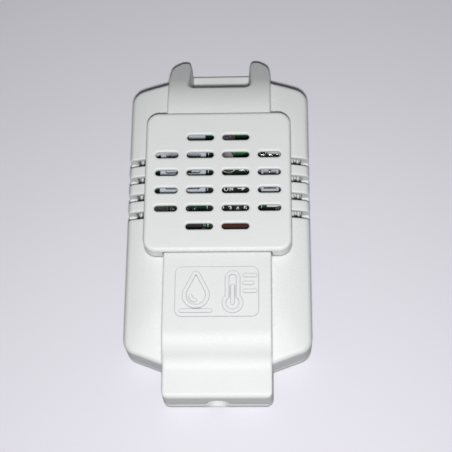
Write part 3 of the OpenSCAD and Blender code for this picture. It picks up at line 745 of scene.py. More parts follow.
    def rear(self, x: Array, y: Array, z: Array) -> Array:
        """Measures to the rear case.

        Args:
            x, y, z: Places in millimetres.

        Returns:
            Signed distances.
        """
        plan = joined(outline_distance(self.wing_plan, x, y), outline_distance(self.strip_plan, x, y))
        plate = soft_and(plan, common(-z, z - self.rim_height), self.rim_edge)
        tray = common(plate, -common(plan + self.wall, y - self.notch_floor + self.wall, self.wall - z))
        board_rows = joined(*(np.abs(y - row) for row in self.board_post_rows))
        board_posts = np.hypot(np.abs(x) - self.board_post_x, board_rows)
        posts = self.posts(x, y)
        collar = np.hypot(x, np.abs(y - self.wall_hole_middle) - self.wall_hole_reach)
        rail = common(np.abs(np.abs(x) - self.rail_x) - self.rail_half[0], np.abs(y) - self.rail_half[1])
        raised = joined(
            common(board_posts - self.board_post_radius, z - self.board_level),
            common(posts - self.post_radius, z - self.post_top),
            soft_and(posts - self.peg_radius, z - self.post_peg_top, self.soft_edge),
            common(collar - self.collar_radius, z - self.rim_height),
            common(rail, z - self.board_level))
        tray = soft_or(tray, common(raised, self.floor_hold - z), self.fine_edge)
        tray = common(tray, -common(board_posts - self.screw_hole_radius, self.floor_hold - z))
        tray = soft_and(tray, self.wall_hole_radius - collar, self.wall_hole_edge)
        return soft_and(tray, -self.cable_hole(x, y, z), self.fine_edge)

    def build(self) -> None:
        """Makes the three mouldings."""
        half, top = self.width / 2, self.length / 2
        cover = Moulding(
            "cover_moulding", self.cover, (-half, -top, self.cover_base), (half, top, self.band_height))
        cover.build("front_cover", Body.COVER.value, CASE_ABS, "case_plastic")
        a, b = self.panel_size[0] / 2, self.panel_size[1] / 2
        panel = Moulding(
            "panel_moulding", self.panel, (-a, self.panel_middle - b, self.panel_foot),
            (a, self.panel_middle + b, self.height), self.panel_cell)
        panel.build("vent_panel", Body.COVER.value, CASE_ABS, "panel_plastic")
        rear = Moulding(
            "rear_moulding", self.rear, (-half, -top, 0), (half, self.lip_end, self.post_peg_top),
            self.rear_cell)
        rear.build("rear_case", Body.BASE.value, CASE_ABS, "case_plastic")


def arc(middle: Point, radius: float, start_deg: float, end_deg: float, step_deg: float = 12.0) -> Array:
    """Gives points along a circular arc.

    Args:
        middle: Centre of the arc.
        radius: Its radius.
        start_deg: Angle of the first point.
        end_deg: Angle of the last point.
        step_deg: Largest turn between two points.

    Returns:
        The points, one row each.
    """
    count = max(2, math.ceil(abs(end_deg - start_deg) / step_deg))
    turns = np.radians(np.linspace(start_deg, end_deg, count + 1))
    return np.array(middle) + radius * np.stack([np.cos(turns), np.sin(turns)], axis=1)


def circle(middle: Point, radius: float, count: int = 20) -> Array:
    """Gives the points of a circle."""
    return arc(middle, radius, 0, 360 - 360 / count, 360 / count)


def frame_line(middle: Point, size: Point, radius: float = 0.0) -> Array:
    """Gives the anticlockwise outline of a rectangle with round corners."""
    corners = [(a * size[0] / 2, b * size[1] / 2) for a, b in ((1, 1), (-1, 1), (-1, -1), (1, -1))]
    return np.array(middle) + rounded_outline(corners, [radius] * 4, step_deg=15.0)


def left_normals(line: Array, loop: bool) -> Array:
    """Gives the normals to the left of a line's points, lengthened in its corners.

    Args:
        line: Points along the line.
        loop: Whether the line closes on itself.

    Returns:
        One normal for each point.
    """
    after = line[:1] if loop else 2 * line[-1:] - line[-2:-1]
    ahead = np.diff(np.vstack([line, after]), axis=0)
    ahead /= np.linalg.norm(ahead, axis=1, keepdims=True)
    behind = np.roll(ahead, 1, axis=0)
    if not loop:
        behind[0] = ahead[0]
    total = ahead + behind
    longer = 2 / np.maximum((total ** 2).sum(axis=1), SHARPEST_CORNER)
    return np.stack([-total[:, 1], total[:, 0]], axis=1) * longer[:, None]


@dataclass
class Relief:
    """Thin plates, strokes and turned forms, gathered into one mesh."""

    name: str
    points: list[Array] = field(default_factory=list)
    faces: list[list[int]] = field(default_factory=list)
    flat_share: float = 0.3
    end_turns_deg: tuple[float, ...] = (78.0, 52.0, 26.0)
    sharp_deg: float = 18.0

    def loft(self, rings: Array, loop: bool = False) -> None:
        """Adds a closed skin over rings of points.

        Args:
            rings: Points by ring, place in the ring and axis.
            loop: Whether the last ring meets the first one; otherwise both ends are capped.
        """
        count, size = rings.shape[:2]
        number = sum(len(p) for p in self.points) + np.arange(count * size).reshape(count, size)
        self.points.append(rings.reshape(-1, 3))
        above, beside = np.roll(number, -1, axis=0), np.roll(number, -1, axis=1)
        quads = np.stack([number, beside, np.roll(above, -1, axis=1), above], axis=2)
        self.faces.extend(quads[:count if loop else count - 1].reshape(-1, 4).tolist())
        if not loop:
            self.faces.extend([number[0][::-1].tolist(), number[-1].tolist()])

    def plate(self, outline: Array, low: float, high: float, edge: float = 0.0) -> None:
        """Adds a slab with a softened upper edge.

        Args:
            outline: Its plan, anticlockwise.
            low: Level of its base.
            high: Level of its top.
            edge: Width of the softened edge, none if zero.
        """
        inward = left_normals(outline, True)
        bend = self.flat_share * edge
        steps = [(0.0, low), (0.0, high - edge), (bend, high - bend), (edge, high)][:4 if edge else 2]
        rings = [np.column_stack([outline + inward * by, np.full(len(outline), z)]) for by, z in steps]
        self.loft(np.stack(rings))

    def stroke(
        self, line: Array, width: float, low: float, high: float, edge: float = 0.0, loop: bool = False
    ) -> None:
        """Adds a raised stroke with round ends.

        Args:
            line: Points along its middle.
            width: Its width.
            low: Level of its base.
            high: Level of its top.
            edge: Width of its softened edges.
            loop: Whether the line closes on itself.
        """
        side = left_normals(line, loop)
        half = np.full(len(line), width / 2)
        if not loop:
            turns = np.radians(self.end_turns_deg)
            first, last = line[1] - line[0], line[-1] - line[-2]
            first, last = first / np.linalg.norm(first), last / np.linalg.norm(last)
            reach = width / 2 * np.sin(turns)[:, None]
            line = np.concatenate([line[0] - reach * first, line, (line[-1] + reach * last)[::-1]])
            side = np.concatenate([side[[0] * len(turns)], side, side[[-1] * len(turns)]])
            slim = width / 2 * np.cos(turns)
            half = np.concatenate([slim, half, slim[::-1]])
        crest = np.maximum(half - edge, self.flat_share * half)
        flank = [(half, low), (half, high - edge), (crest, high)] if edge else [(half, low), (crest, high)]
        corners = flank + [(-by, z) for by, z in reversed(flank)]
        rings = [np.column_stack([line + side * by[:, None], np.full(len(line), z)]) for by, z in corners]
        self.loft(np.stack(rings, axis=1), loop)

    def turned(self, middle: Point, profile: Sequence[Point], count: int = 24) -> None:
        """Adds a form turned about an upright axis, by radius and level from the base up."""
        rings = [np.column_stack([circle(middle, radius, count), np.full(count, z)]) for radius, z in profile]
        self.loft(np.stack(rings))

    def build(self, finish: Finish, slot: str, body: str = Body.BASE.value) -> bpy.types.Object:
        """Makes the piece.

        Args:
            finish: Its surface finish.
            slot: Its material slot in the record; not used.
            body: Body that it rides on.

        Returns:
            The new object.
        """
        mesh = bpy.data.meshes.new(self.name)
        mesh.from_pydata((np.concatenate(self.points) * MM).tolist(), [], self.faces)
        mesh.shade_smooth()
        mesh.set_sharp_from_angle(angle=math.radians(self.sharp_deg))
        piece = link(self.name, mesh, body, finish)
        return piece


class Edge(Enum):
    """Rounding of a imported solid's edges in millimetres."""

    SHARP = 0.0
    HAIR = 0.03
    FINE = 0.06
    SMALL = 0.1
    EASED = 0.12
    SOFT = 0.2
    ROUND = 0.3
    FULL = 0.6


def edge_cleaner() -> bpy.types.NodeTree:
    """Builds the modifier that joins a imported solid's split corners.

    Returns:
        The node group.
    """
    known = bpy.data.node_groups.get("joined_corners")
    if known:
        return known
    tree = bpy.data.node_groups.new("joined_corners", "GeometryNodeTree")
    tree.interface.new_socket("Geometry", in_out="INPUT", socket_type="NodeSocketGeometry")
    tree.interface.new_socket("Geometry", in_out="OUTPUT", socket_type="NodeSocketGeometry")
    solid = add_node(tree, "NodeGroupInput").outputs[0]
    reach = {"Distance": MERGE_MM * MM}
    merged = add_node(tree, "GeometryNodeMergeByDistance", reach, {"Geometry": solid}).outputs[0]
    plain = add_node(
        tree, "GeometryNodeSetMeshNormal", {"Remove Custom": True}, {"Mesh": merged}, mode="SHARPNESS")
    add_node(tree, "NodeGroupOutput", links={0: plain.outputs[0]})
    return tree


def dress(node: str, finish: Finish, edge: Edge = Edge.SHARP) -> None:
    """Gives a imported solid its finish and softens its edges.

    Args:
        node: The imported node.
        finish: Its surface finish.
        edge: Rounding of its edges.
    """
    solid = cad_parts[node]
    solid.material_slots[0].material = finish.build()
    if edge is not Edge.SHARP:
        solid.modifiers.new("joined", "NODES").node_group = edge_cleaner()
        flat = solid.modifiers.new("flat", "DECIMATE")
        flat.decimate_type = "DISSOLVE"
        flat.angle_limit = math.radians(FLAT_DEG)
        bevel = solid.modifiers.new("soft", "BEVEL")
        bevel.width = edge.value * MM
        bevel.segments = 2
        bevel.limit_method = "ANGLE"
        bevel.angle_limit = math.radians(BEVEL_DEG)
        bevel.harden_normals = True
        bevel.use_clamp_overlap = False
        bevel.miter_outer = "MITER_ARC"
    log.info("%s: %s", node, finish.name)


# Solder mask over glass weave: deep green, wet-looking, with the weave just felt in its gloss
SOLDER_MASK = Finish("green_solder_mask", "#12482c", "#0d3b22", 5.0, 0.6, 0.012, 0.3, 0.08, coat=0.15)
# Mask where copper lies under it: a lighter, yellower green with soft edges
MASKED_COPPER = Finish("masked_copper", "#237a45", "#1d6b3b", 4.0, 0.6, 0.01, 0.28, 0.06, coat=0.15)
# Screen ink: a flat warm white with ragged gloss
SCREEN_INK = Finish("screen_ink_white", "#e6e8e4", "#d9dcd8", 2.0, 0.3, 0.01, 0.6)
# Tin from the solder bath: bright, slightly wavy silver
BATH_TIN = Finish("bath_tin", "#c9cacc", "#b9babd", 1.5, 0.5, 0.02, 0.26, 0.1, metallic=1.0)
# Zinc plating, passivated: pale blue-grey steel with a soft sheen
ZINC_PLATE = Finish("zinc_plated_steel", "#bfc3c8", "#aeb2b8", 1.5, 0.35, 0.012, 0.34, 0.12, metallic=1.0)
# Brass under thin nickel: warm pale yellow
CLAMP_BRASS = Finish("clamp_brass", "#cfae6a", "#bb9850", 1.5, 0.35, 0.012, 0.32, 0.1, metallic=1.0)
# Polyamide of screw terminals: satin leaf green
TERMINAL_NYLON = Finish("terminal_nylon_green", "#2c8f55", "#27804b", 4.0, 0.35, 0.012, 0.42)
# Glass-filled switch body: near black with a plum cast
SWITCH_BLACK = Finish("switch_polymer_black", "#1d161b", "#171116", 3.0, 0.3, 0.012, 0.45)
# Sliders in bright white acetal, a little waxy
SLIDER_ACETAL = Finish("slider_acetal_white", "#f0f1f0", "#e6e7e6", 2.0, 0.3, 0.008, 0.38)
# Capsule of smooth polymer, a cool greyish white
CAPSULE_WHITE = Finish("capsule_polymer_white", "#bec4cd", "#c1c8d2", 4.0, 0.4, 0.01, 0.34)
# Unpigmented nylon of plug connectors: a cool milky white
CONNECTOR_NYLON = Finish("connector_nylon_white", "#aeb3b9", "#c0c5cc", 3.0, 0.4, 0.01, 0.4)
# Epoxy chip packages: sooty black, matte from the mould
CHIP_EPOXY = Finish("chip_epoxy_black", "#2b2627", "#221e1f", 2.0, 0.25, 0.014, 0.55)
# Drawn nickel silver can with a brushed sheen along its length
CAN_NICKEL = Finish(
    "drawn_nickel_can", "#cfd0d1", "#bfc0c2", 3.0, 0.4, 0.012, 0.28, 0.1, metallic=1.0, stretch=(0.15, 1, 1))
# Shrink sleeve: glossy chocolate brown
SHRINK_SLEEVE = Finish("shrink_sleeve_brown", "#5b3a29", "#4d3022", 3.0, 0.4, 0.01, 0.3, coat=0.2)
# Aluminium end of a capacitor can: bright and lightly spun
CAN_ALUMINIUM = Finish("spun_aluminium", "#d6d7d9", "#c6c7ca", 1.5, 0.3, 0.01, 0.3, 0.1, metallic=1.0)
# Lacquer dip of a film capacitor: thick, glossy, deep reddish brown
DIPPED_LACQUER = Finish("dipped_lacquer_brown", "#48322c", "#482620", 3.0, 0.8, 0.03, 0.2, coat=0.4)
# Sintered ferrite: dull charcoal with a coarse bloom
FERRITE = Finish("sintered_ferrite", "#34363a", "#292b2f", 1.5, 0.3, 0.03, 0.68)
# Enamelled copper wire: glassy reddish brown
ENAMEL_COPPER = Finish("enamelled_copper", "#b06a3c", "#9c5a30", 1.0, 0.3, 0.01, 0.25, metallic=1.0)
# Lamp lens: clear pale green resin
LAMP_RESIN = Finish("lamp_resin_green", "#a9e0b2", "#9bd6a6", 2.0, 0.5, 0.004, 0.12, 0.04, transmission=0.55)
# Resistor glaze: black glass film
RESISTOR_GLAZE = Finish("resistor_glaze_black", "#1e2023", "#17191b", 1.0, 0.25, 0.008, 0.3)
# Fired ceramic of chip capacitors: chalky tan
CERAMIC_TAN = Finish("fired_ceramic_tan", "#b3946a", "#a5865d", 1.0, 0.25, 0.01, 0.5)
# Paper roll under the part: matte and very pale violet
PAPER = BackdropFinish("paper_backdrop", "#e2e0e7", "#dedce4", 60.0, 0.6, 0.01, 0.85)


@dataclass
class FieldRelief:
    """Raised field on the band with a drop and a thermometer in relief, in millimetres."""

    middle: Point = (0.0, -27.5)
    size: Point = (26.3, 16.3)
    corner: float = 2.0
    band_height: float = 18.3
    rise: float = 0.35
    root: float = 0.4
    stroke_rise: float = 0.32
    stroke_root: float = 0.1
    stroke_width: float = 1.1
    edge: float = 0.07
    bowl: Point = (-6.6, -1.3)
    bowl_radius: float = 3.7
    bowl_apex: float = 6.9
    tip_level: float = 5.35
    tip_radius: float = 0.7
    glint_radius: float = 1.75
    glint_deg: Point = (190.0, 262.0)
    ripple_level: float = -6.4
    ripple_half: float = 4.6
    bulb: Point = (5.0, -3.9)
    bulb_radius: float = 2.7
    bulb_deg: Point = (130.0, 410.0)
    tube_top: float = 4.4
    tube_radius: float = 1.75
    column_top: float = 1.6
    marks_from: float = 3.8
    marks: tuple[Point, ...] = ((5.2, 3.4), (2.6, 2.4), (0.0, 3.4))

    def build(self) -> None:
        """Makes the field and its two signs."""
        top = self.band_height + self.rise
        relief = Relief("field_relief")
        outline = frame_line(self.middle, self.size, self.corner)
        relief.plate(outline, self.band_height - self.root, top, self.edge)
        for line, loop in self.drop() + self.thermometer():
            relief.stroke(
                line + np.array(self.middle), self.stroke_width, top - self.stroke_root,
                top + self.stroke_rise, self.edge, loop)
        relief.build(CASE_ABS, "case_plastic", Body.COVER.value)

    def drop(self) -> list[tuple[Array, bool]]:
        """Draws a water drop with a glint over the line of the water.

        Returns:
            Lines about the field's middle, and whether each closes on itself.
        """
        x, low = self.bowl
        tilt = math.degrees(math.asin(self.bowl_radius / (self.bowl_apex - low)))
        bowl = arc(self.bowl, self.bowl_radius, 180 - tilt, 360 + tilt)
        tip = arc((x, self.tip_level), self.tip_radius, tilt, 180 - tilt)
        ripple = np.array([(x + side * self.ripple_half, self.ripple_level) for side in (-1, 1)])
        glint = arc(self.bowl, self.glint_radius, *self.glint_deg)
        return [(np.concatenate([bowl, tip]), True), (glint, False), (ripple, False)]

    def thermometer(self) -> list[tuple[Array, bool]]:
        """Draws a thermometer with its column and marks.

        Returns:
            Lines about the field's middle, and whether each closes on itself.
        """
        x = self.bulb[0]
        tube = arc((x, self.tube_top), self.tube_radius, 0, 180)
        outline = np.concatenate([tube, arc(self.bulb, self.bulb_radius, *self.bulb_deg)])
        lines = [(outline, True), (np.array([self.bulb, (x, self.column_top)]), False)]
        start = x + self.marks_from
        return lines + [(np.array([(start, y), (start + reach, y)]), False) for y, reach in self.marks]


@dataclass
class Board:
    """Circuit board with its copper, ink, screws and the chips soldered to it."""

    top: float = 6.6
    copper_mm: float = 0.035
    ink_mm: float = 0.03
    track_width: float = 0.9
    fine_track_width: float = 0.34
    lead_pitch: float = 0.8
    pin_pitch: float = 2.54
    driver_pitch: float = 2.5
    pin_row: Point = (-15.81, 5.5)
    can_x: float = 2.9
    can_rows: Point = (21.6, 28.2)
    can_ring: float = 3.0
    frame_width: float = 0.22
    chip_frame: Point = (1.9, 3.5)
    chip_frame_width: float = 0.16
    chip_pitch: float = 2.6
    cap_size: Point = (1.26, 0.5)
    cap_y: float = 0.8
    cap_corner: float = 0.06
    cap_wrap: float = 0.03
    cap_edge: float = 0.05
    solder_size: Point = (1.36, 0.72)
    solder_y: float = 1.2
    solder_corner: float = 0.2
    solder_rise: float = 0.14
    solder_edge: float = 0.1
    pad_place: Point = (-19.8, 6.0)
    pad_size: Point = (5.2, 2.4)
    pad_corner: float = 0.5
    pad_rise: float = 0.06
    pad_edge: float = 0.04
    pin_cone: tuple[Point, ...] = ((0.95, 0.0), (0.9, 0.06), (0.5, 0.35))
    via_dome: tuple[Point, ...] = ((0.42, 0.0), (0.38, 0.05), (0.16, 0.06))
    vias: tuple[Point, ...] = (
        (-2.2, -9.5), (-12, -12.6), (11.4, -9), (13.2, -2.2), (-22, -7), (-2.6, 14.6), (-2.4, 22), (13, 21),
        (22.4, 7.5), (-20.6, 5.4), (0.6, -18), (-12.2, -20.6), (16.4, -19.4), (10.8, 31))
    frame_corner: float = 0.3
    print_corner: float = 0.2
    resistor_height: float = 0.5
    capacitor_height: float = 0.9
    resistor_rows: tuple[tuple[float, float, int], ...] = ((-21, -4, 3), (12, 26, 4), (-4, -21, 4))
    capacitor_rows: tuple[tuple[float, float, int], ...] = ((-22, 1, 3), (7.5, 21, 2), (13, -15, 4))

    def build(self) -> None:
        """Dresses the board and lays its copper and ink."""
        dress("main_board", SOLDER_MASK)
        dress("board_screws", ZINC_PLATE)
        self.tracks()
        self.ink()
        self.terminations()

    def chips(self) -> list[Triple]:
        """Lists each small chip's middle and height."""
        kinds = ((self.resistor_rows, self.resistor_height), (self.capacitor_rows, self.capacitor_height))
        return [(x + i * self.chip_pitch, y, height)
                for rows, height in kinds for x, y, count in rows for i in range(count)]

    def tracks(self) -> None:
        """Lays masked copper tracks between the parts."""
        copper = Relief("board_tracks")
        wide: list[list[Point]] = [
            [(-2.54, -26), (-2.54, -23.2), (-6.2, -19.6), (-6.2, -12.4), (-10, -8.6), (-15.6, -8.6)],
            [(-7.62, -26), (-7.62, -13), (-10.6, -10), (-15.6, -10)],
            [(7.62, -26), (7.62, -22), (11.6, -18), (11.6, -16.2), (13, -16.2), (20.8, -16.2)],
            [(9.6, -14.5), (10.8, -13.3), (15.2, -13.3)],
            [(17.5, -6.6), (17.5, -4.5), (20, -2), (20, 1.4)],
            [(23.2, -16), (23.2, 25.5), (21.5, 27.2)],
            [(-23.3, -15.5), (-23.3, 26.5), (-21.6, 28.2)],
            [(2.9, 24.2), (2.9, 25.4), (7.2, 25.4), (10.4, 27.2), (19.8, 27.2)],
            [(-20.8, -12), (-20.8, -14.2), (-19, -16), (-16, -16)],
        ]
        fine: list[list[Point]] = []
        for i in range(4):
            lead, pin, row = self.lead_pitch * i, self.pin_row[0] + self.pin_pitch * i, self.driver_pitch * i
            fine.append([(-10.2 + lead, 2.9), (-10.2 + lead, 3.3), (pin, 4.6), (pin, self.pin_row[1])])
            level, end = 1.3 - lead, -1.35 + self.pin_pitch * i
            fine.append([(-4.6, level), (end - 2.6 + level, level), (end, 2.6)])
            turn = 12.4 - lead
            fine.append([(16.4, 11.25 + row), (turn, 11.25 + row), (turn - 2, 13.25 + row), (turn - 2, 22.4)])
            level = -4.3 + lead
            fine.append([(-13.4, level), (-15 + lead / 2, level), (-16.6 + 0.2 * i, -2.9 + 0.6 * i)])
        for lines, width in ((wide, self.track_width), (fine, self.fine_track_width)):
            for line in lines:
                copper.stroke(np.array(line, float), width, self.top, self.top + self.copper_mm)
        copper.build(MASKED_COPPER, "board")

    def ink(self) -> None:
        """Prints the outlines of the parts and four plain label fields."""
        ink = Relief("board_ink")
        frames: list[tuple[Point, Point]] = [
            ((5, 7.4), (18.2, 10.8)), ((-12, 18), (16.2, 21)), ((17, 15), (6.8, 13.4)), ((4, -4.2), (14, 6)),
            ((6, -14.5), (8.3, 8.3)), ((-9, -1.5), (10.4, 10.4)), ((-18.5, -9.5), (6.2, 7)),
            ((17.5, -9.5), (7.6, 8.2)), ((-15, -16.5), (12.4, 5.9)), ((0, -29.6), (21.8, 9.4)),
        ]
        labels: list[tuple[Point, Point]] = [
            ((24.1, 9.8), (1.5, 29)), ((-24.3, 9.8), (0.7, 29)), ((-14, -26), (6, 3)),
            ((18.2, 6.4), (4.6, 1.1)),
        ]
        level = self.top + self.copper_mm + self.ink_mm
        lines = [(frame_line(middle, size, self.frame_corner), self.frame_width) for middle, size in frames]
        lines += [(circle((self.can_x, y), self.can_ring, count=28), self.frame_width) for y in self.can_rows]
        lines += [(frame_line((x, y), self.chip_frame, self.print_corner), self.chip_frame_width)
                  for x, y, _ in self.chips()]
        for line, width in lines:
            ink.stroke(line, width, self.top, level, loop=True)
        for middle, size in labels:
            ink.plate(frame_line(middle, size, self.print_corner), self.top, level)
        ink.build(SCREEN_INK, "board")

    def terminations(self) -> None:
        """Caps the small chips' ends, rings the pins with solder and sets the tracks' vias."""
        tin = Relief("solder_and_caps")
        top = self.top
        for x, y, height in self.chips():
            for side in (-1, 1):
                cap = frame_line((x, y + side * self.cap_y), self.cap_size, self.cap_corner)
                tin.plate(cap, top, top + height + self.cap_wrap, self.cap_edge)
                solder = frame_line((x, y + side * self.solder_y), self.solder_size, self.solder_corner)
                tin.plate(solder, top, top + self.solder_rise, self.solder_edge)
        pad = frame_line(self.pad_place, self.pad_size, self.pad_corner)
        tin.plate(pad, top, top + self.pad_rise, self.pad_edge)
        for i in range(4):
            pin = (self.pin_row[0] + self.pin_pitch * i, self.pin_row[1])
            tin.turned(pin, [(radius, top + rise) for radius, rise in self.pin_cone])
        for via in self.vias:
            tin.turned(via, [(radius, top + rise) for radius, rise in self.via_dome], count=14)
        tin.build(BATH_TIN, "tinned_metal")


class Glyph(Enum):
    """Figures and letters of the switch as lines in a box one high."""

    ONE = (((0.22, 0.8), (0.42, 1.0), (0.42, 0.0)),)
    TWO = (((0.04, 0.78), (0.16, 0.95), (0.35, 1.0), (0.54, 0.92), (0.6, 0.74), (0.5, 0.52), (0.04, 0.0),
            (0.64, 0.0)),)
    THREE = (((0.05, 0.92), (0.33, 1.0), (0.57, 0.88), (0.56, 0.64), (0.3, 0.54), (0.58, 0.42), (0.62, 0.16),
              (0.35, 0.0), (0.03, 0.08)),)
    FOUR = (((0.46, 0.0), (0.46, 1.0)), ((0.46, 1.0), (0.0, 0.3), (0.66, 0.3)))
    FIVE = (((0.58, 1.0), (0.12, 1.0), (0.08, 0.55), (0.34, 0.62), (0.58, 0.5), (0.62, 0.2), (0.38, 0.0),
             (0.04, 0.08)),)
    SIX = (((0.54, 0.94), (0.32, 1.0), (0.12, 0.76), (0.05, 0.34), (0.16, 0.06), (0.36, 0.0), (0.56, 0.1),
            (0.6, 0.36), (0.46, 0.55), (0.26, 0.55), (0.08, 0.36)),)
    LETTER_O = (((0.3, 1.0), (0.08, 0.82), (0.0, 0.5), (0.08, 0.18), (0.3, 0.0), (0.54, 0.0), (0.74, 0.18),
                 (0.82, 0.5), (0.74, 0.82), (0.54, 1.0), (0.3, 1.0)),)
    LETTER_N = (((0.05, 0.0), (0.05, 1.0)), ((0.05, 1.0), (0.65, 0.0)), ((0.65, 0.0), (0.65, 1.0)))


@dataclass
class Switch:
    """Six-way switch with its sliders and printed figures."""

    middle: Point = (5.0, 7.4)
    top: float = 11.2
    pitch: float = 2.54
    figure_mm: float = 1.5
    stroke_mm: float = 0.26
    ink_mm: float = 0.02
    figure_left: float = -0.5
    figure_foot: float = -4.55
    letter_foot: float = 2.5
    letter_places: Point = (-3.2, -1.4)
    arrow: tuple[Point, ...] = (
        (1.2, 3.2), (2.6, 3.2), (2.6, 2.6), (3.8, 3.35), (2.6, 4.1), (2.6, 3.5), (1.2, 3.5))

    def build(self) -> None:
        """Dresses the switch and prints its figures."""
        dress("switch_body", SWITCH_BLACK)
        *figures, letter_o, letter_n = Glyph
        ink = Relief("switch_figures")
        x, y = self.middle
        for i, glyph in enumerate(figures):
            dress(f"switch_slider_{i + 1}", SLIDER_ACETAL, Edge.EASED)
            left = x + (i - (len(figures) - 1) / 2) * self.pitch + self.figure_left
            self.print(ink, glyph, left, y + self.figure_foot)
        for glyph, left in zip((letter_o, letter_n), self.letter_places):
            self.print(ink, glyph, x + left, y + self.letter_foot)
        arrow = np.array(self.arrow) + np.array(self.middle)
        ink.plate(arrow, self.top - self.ink_mm, self.top + self.ink_mm)
        ink.build(SCREEN_INK, "switch_plastic")

    def print(self, ink: Relief, glyph: Glyph, x: float, y: float) -> None:
        """Prints one figure or letter.

        Args:
            ink: Mesh that gets it.
            glyph: What to print.
            x: Its left edge.
            y: Its foot.
        """
        for line in glyph.value:
            drawn = np.array(line) * self.figure_mm + np.array((x, y))
            ink.stroke(drawn, self.stroke_mm, self.top - self.ink_mm, self.top + self.ink_mm)


@dataclass
class Terminal:
    """Screw terminal for the cable's cores."""

    poles: int = 4

    def build(self) -> None:
        """Dresses housing, pins, screws and clamps."""
        dress("terminal_housing", TERMINAL_NYLON)
        dress("terminal_pins", BATH_TIN, Edge.FINE)
        for i in range(self.poles):
            dress(f"terminal_screw_{i + 1}", ZINC_PLATE, Edge.EASED)
            dress(f"terminal_clamp_{i + 1}", CLAMP_BRASS)


class Capsule:
    """Sensing capsule in its slotted shell, and the plug connector beside it."""

    def build(self) -> None:
        """Dresses capsule and connector."""
        dress("sensor_shell", CAPSULE_WHITE)
        dress("sensor_base", CAPSULE_WHITE, Edge.SMALL)
        dress("sensor_chip", CHIP_EPOXY, Edge.FINE)
        dress("sensor_pins", BATH_TIN, Edge.FINE)
        dress("connector_housing", CONNECTOR_NYLON, Edge.EASED)
        dress("connector_pins", BATH_TIN, Edge.FINE)


@dataclass
class Parts:
    """Chips, capacitors and the other parts on the board, in millimetres."""

    board_top: float = 6.6
    can_x: float = 2.9
    can_rows: Point = (21.6, 28.2)
    can_height: float = 6.3
    can_end: tuple[Point, ...] = ((1.85, -0.1), (1.85, 0.03), (1.75, 0.07))
    vent_turns_deg: tuple[float, ...] = (30.0, 150.0, 270.0)
    vent_reach: float = 1.3
    vent_width: float = 0.22
    vent_rise: float = 0.1
    vent_edge: float = 0.03
    stripe_half_deg: float = 22.0
    stripe_step_deg: float = 4.0
    stripe_at_deg: float = 45.0
    stripe_section: tuple[Point, ...] = ((2.52, 1.6), (2.52, 6.0), (2.45, 6.0), (2.45, 1.6))
    choke: Point = (6.0, -14.5)
    windings: tuple[Point, ...] = ((2.55, 3.42), (2.85, 3.42), (2.7, 3.62))
    wire_radius: float = 0.15

    def build(self) -> None:
        """Dresses the parts and adds can ends, stripes and winding."""
        for chip in ("controller", "line_driver", "regulator"):
            dress(chip, CHIP_EPOXY, Edge.EASED)
        for leads in ("controller_leads", "driver_leads", "regulator_leads"):
            dress(leads, BATH_TIN, Edge.HAIR)
        dress("crystal", CAN_NICKEL, Edge.ROUND)
        dress("electrolytic_capacitors", SHRINK_SLEEVE, Edge.EASED)
        dress("film_capacitor", DIPPED_LACQUER, Edge.FULL)
        dress("power_choke", FERRITE, Edge.SOFT)
        dress("status_lamp", LAMP_RESIN)
        dress("chip_resistors", RESISTOR_GLAZE, Edge.FINE)
        dress("chip_capacitors", CERAMIC_TAN, Edge.SMALL)
        self.can_ends()
        self.stripes()
        self.winding()

    def can_ends(self) -> None:
        """Lets the cans' vented ends show inside their sleeves."""
        ends = Relief("can_ends")
        level = self.board_top + self.can_height
        for y in self.can_rows:
            ends.turned((self.can_x, y), [(radius, level + rise) for radius, rise in self.can_end])
            for turn in np.radians(self.vent_turns_deg):
                tip = (self.can_x + self.vent_reach * math.cos(turn), y + self.vent_reach * math.sin(turn))
                line = np.array([(self.can_x, y), tip])
                ends.stroke(line, self.vent_width, level, level + self.vent_rise, self.vent_edge)
        ends.build(CAN_ALUMINIUM, "can_metal")

    def stripes(self) -> None:
        """Prints the pale polarity stripe on each sleeve."""
        stripes = Relief("sleeve_stripes")
        turns = np.radians(np.arange(-self.stripe_half_deg, self.stripe_half_deg + 1, self.stripe_step_deg))
        turns += math.radians(self.stripe_at_deg)
        for y in self.can_rows:
            rings = [np.column_stack([
                self.can_x + radius * np.cos(turns), y + radius * np.sin(turns),
                np.full(len(turns), self.board_top + level)]) for radius, level in self.stripe_section]
            stripes.loft(np.stack(rings, axis=1))
        stripes.build(SCREEN_INK, "sleeve_plastic")

    def winding(self) -> None:
        """Winds three turns of wire round the choke."""
        winding = Relief("choke_winding")
        turns = np.radians(np.arange(0, 360, 10))[:, None]
        section = np.radians(np.arange(0, 360, 45))
        for radius, level in self.windings:
            reach = radius + self.wire_radius * np.cos(section)
            rise = self.board_top + level + self.wire_radius * np.sin(section)
            ring = np.stack(np.broadcast_arrays(
                self.choke[0] + reach * np.cos(turns), self.choke[1] + reach * np.sin(turns), rise), axis=2)
            winding.loft(ring[:, ::-1], loop=True)
        winding.build(ENAMEL_COPPER, "ferrite")


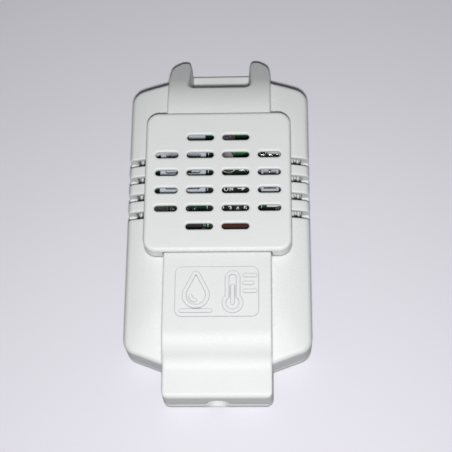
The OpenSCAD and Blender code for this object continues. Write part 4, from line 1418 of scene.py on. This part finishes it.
@dataclass
class Studio:
    """Floor, lamps and camera."""

    camera_at_mm: Triple = (18.4, -140.8, 368.1)
    yaw_deg: float = 6.59
    pitch_deg: float = 21.29
    roll_deg: float = -6.63
    focal_pixels: float = 1164.6
    sensor_mm: float = 36.0
    near_clip_mm: float = 10.0
    key_at_mm: Triple = (18.0, -171.0, 364.0)
    key_aim_mm: Triple = (0.0, 0.0, 10.0)
    key_size_mm: float = 26.0
    key_watts: float = 1.48
    surround: float = 0.08
    surround_tone: str = "#f4f5fa"
    floor_half_mm: float = 2000.0
    floor_drop_mm: float = 0.1

    def build(self) -> None:
        """Sets up floor, light and camera."""
        self.floor()
        self.key()
        self.world()
        self.camera()

    def floor(self) -> None:
        """Lays a plain pale floor under the sensor."""
        mesh = bpy.data.meshes.new("floor")
        half = self.floor_half_mm * MM
        corners = [(-half, -half, 0), (half, -half, 0), (half, half, 0), (-half, half, 0)]
        mesh.from_pydata(corners, [], [range(len(corners))])
        mesh.materials.append(PAPER.build())
        floor = add_object("floor", mesh)
        floor.location.z = -self.floor_drop_mm * MM

    def key(self) -> None:
        """Hangs a small lamp just behind the camera's line."""
        lamp = bpy.data.lights.new("key", "AREA")
        lamp.shape = "DISK"
        lamp.size = self.key_size_mm * MM
        lamp.energy = self.key_watts
        key = add_object("key", lamp)
        key.location = Vector(self.key_at_mm) * MM
        key.rotation_mode = "QUATERNION"
        key.rotation_quaternion = (Vector(self.key_aim_mm) * MM - key.location).to_track_quat("-Z", "Y")

    def world(self) -> None:
        """Surrounds the scene with a soft light that shows as the backdrop's distance."""
        world = bpy.data.worlds.new("surround")
        world.use_nodes = True
        tree = world.node_tree
        tree.nodes.clear()
        light = {"Color": linear(self.surround_tone), "Strength": self.surround}
        soft = add_node(tree, "ShaderNodeBackground", light).outputs[0]
        pale = add_node(tree, "ShaderNodeBackground", {"Color": linear(PAPER.distance)}).outputs[0]
        shown = add_node(tree, "ShaderNodeMixShader", links={0: seen_directly(tree), 1: soft, 2: pale})
        add_node(tree, "ShaderNodeOutputWorld", links={"Surface": shown.outputs[0]})
        bpy.context.scene.world = world

    def camera(self) -> None:
        """Places the camera at the photograph's viewpoint."""
        lens = bpy.data.cameras.new("camera")
        lens.sensor_width = self.sensor_mm
        lens.lens = self.focal_pixels / PHOTO_PIXELS * self.sensor_mm
        lens.clip_start = self.near_clip_mm * MM
        place = Matrix.Translation(Vector(self.camera_at_mm) * MM)
        for angle, axis in ((self.yaw_deg, "Z"), (self.pitch_deg, "X"), (self.roll_deg, "Z")):
            place = place @ Matrix.Rotation(math.radians(angle), 4, axis)
        camera = add_object("camera", lens)
        camera.matrix_world = place
        bpy.context.scene.camera = camera


def main() -> None:
    """Dresses the sensor and sets up its studio."""
    logging.basicConfig(level=logging.INFO, format="%(name)s: %(message)s")
    bpy.context.scene.view_settings.view_transform = "Standard"
    Housing().build()
    FieldRelief().build()
    Board().build()
    Switch().build()
    Terminal().build()
    Capsule().build()
    Parts().build()
    Studio().build()


if __name__ == "__main__":
    main()
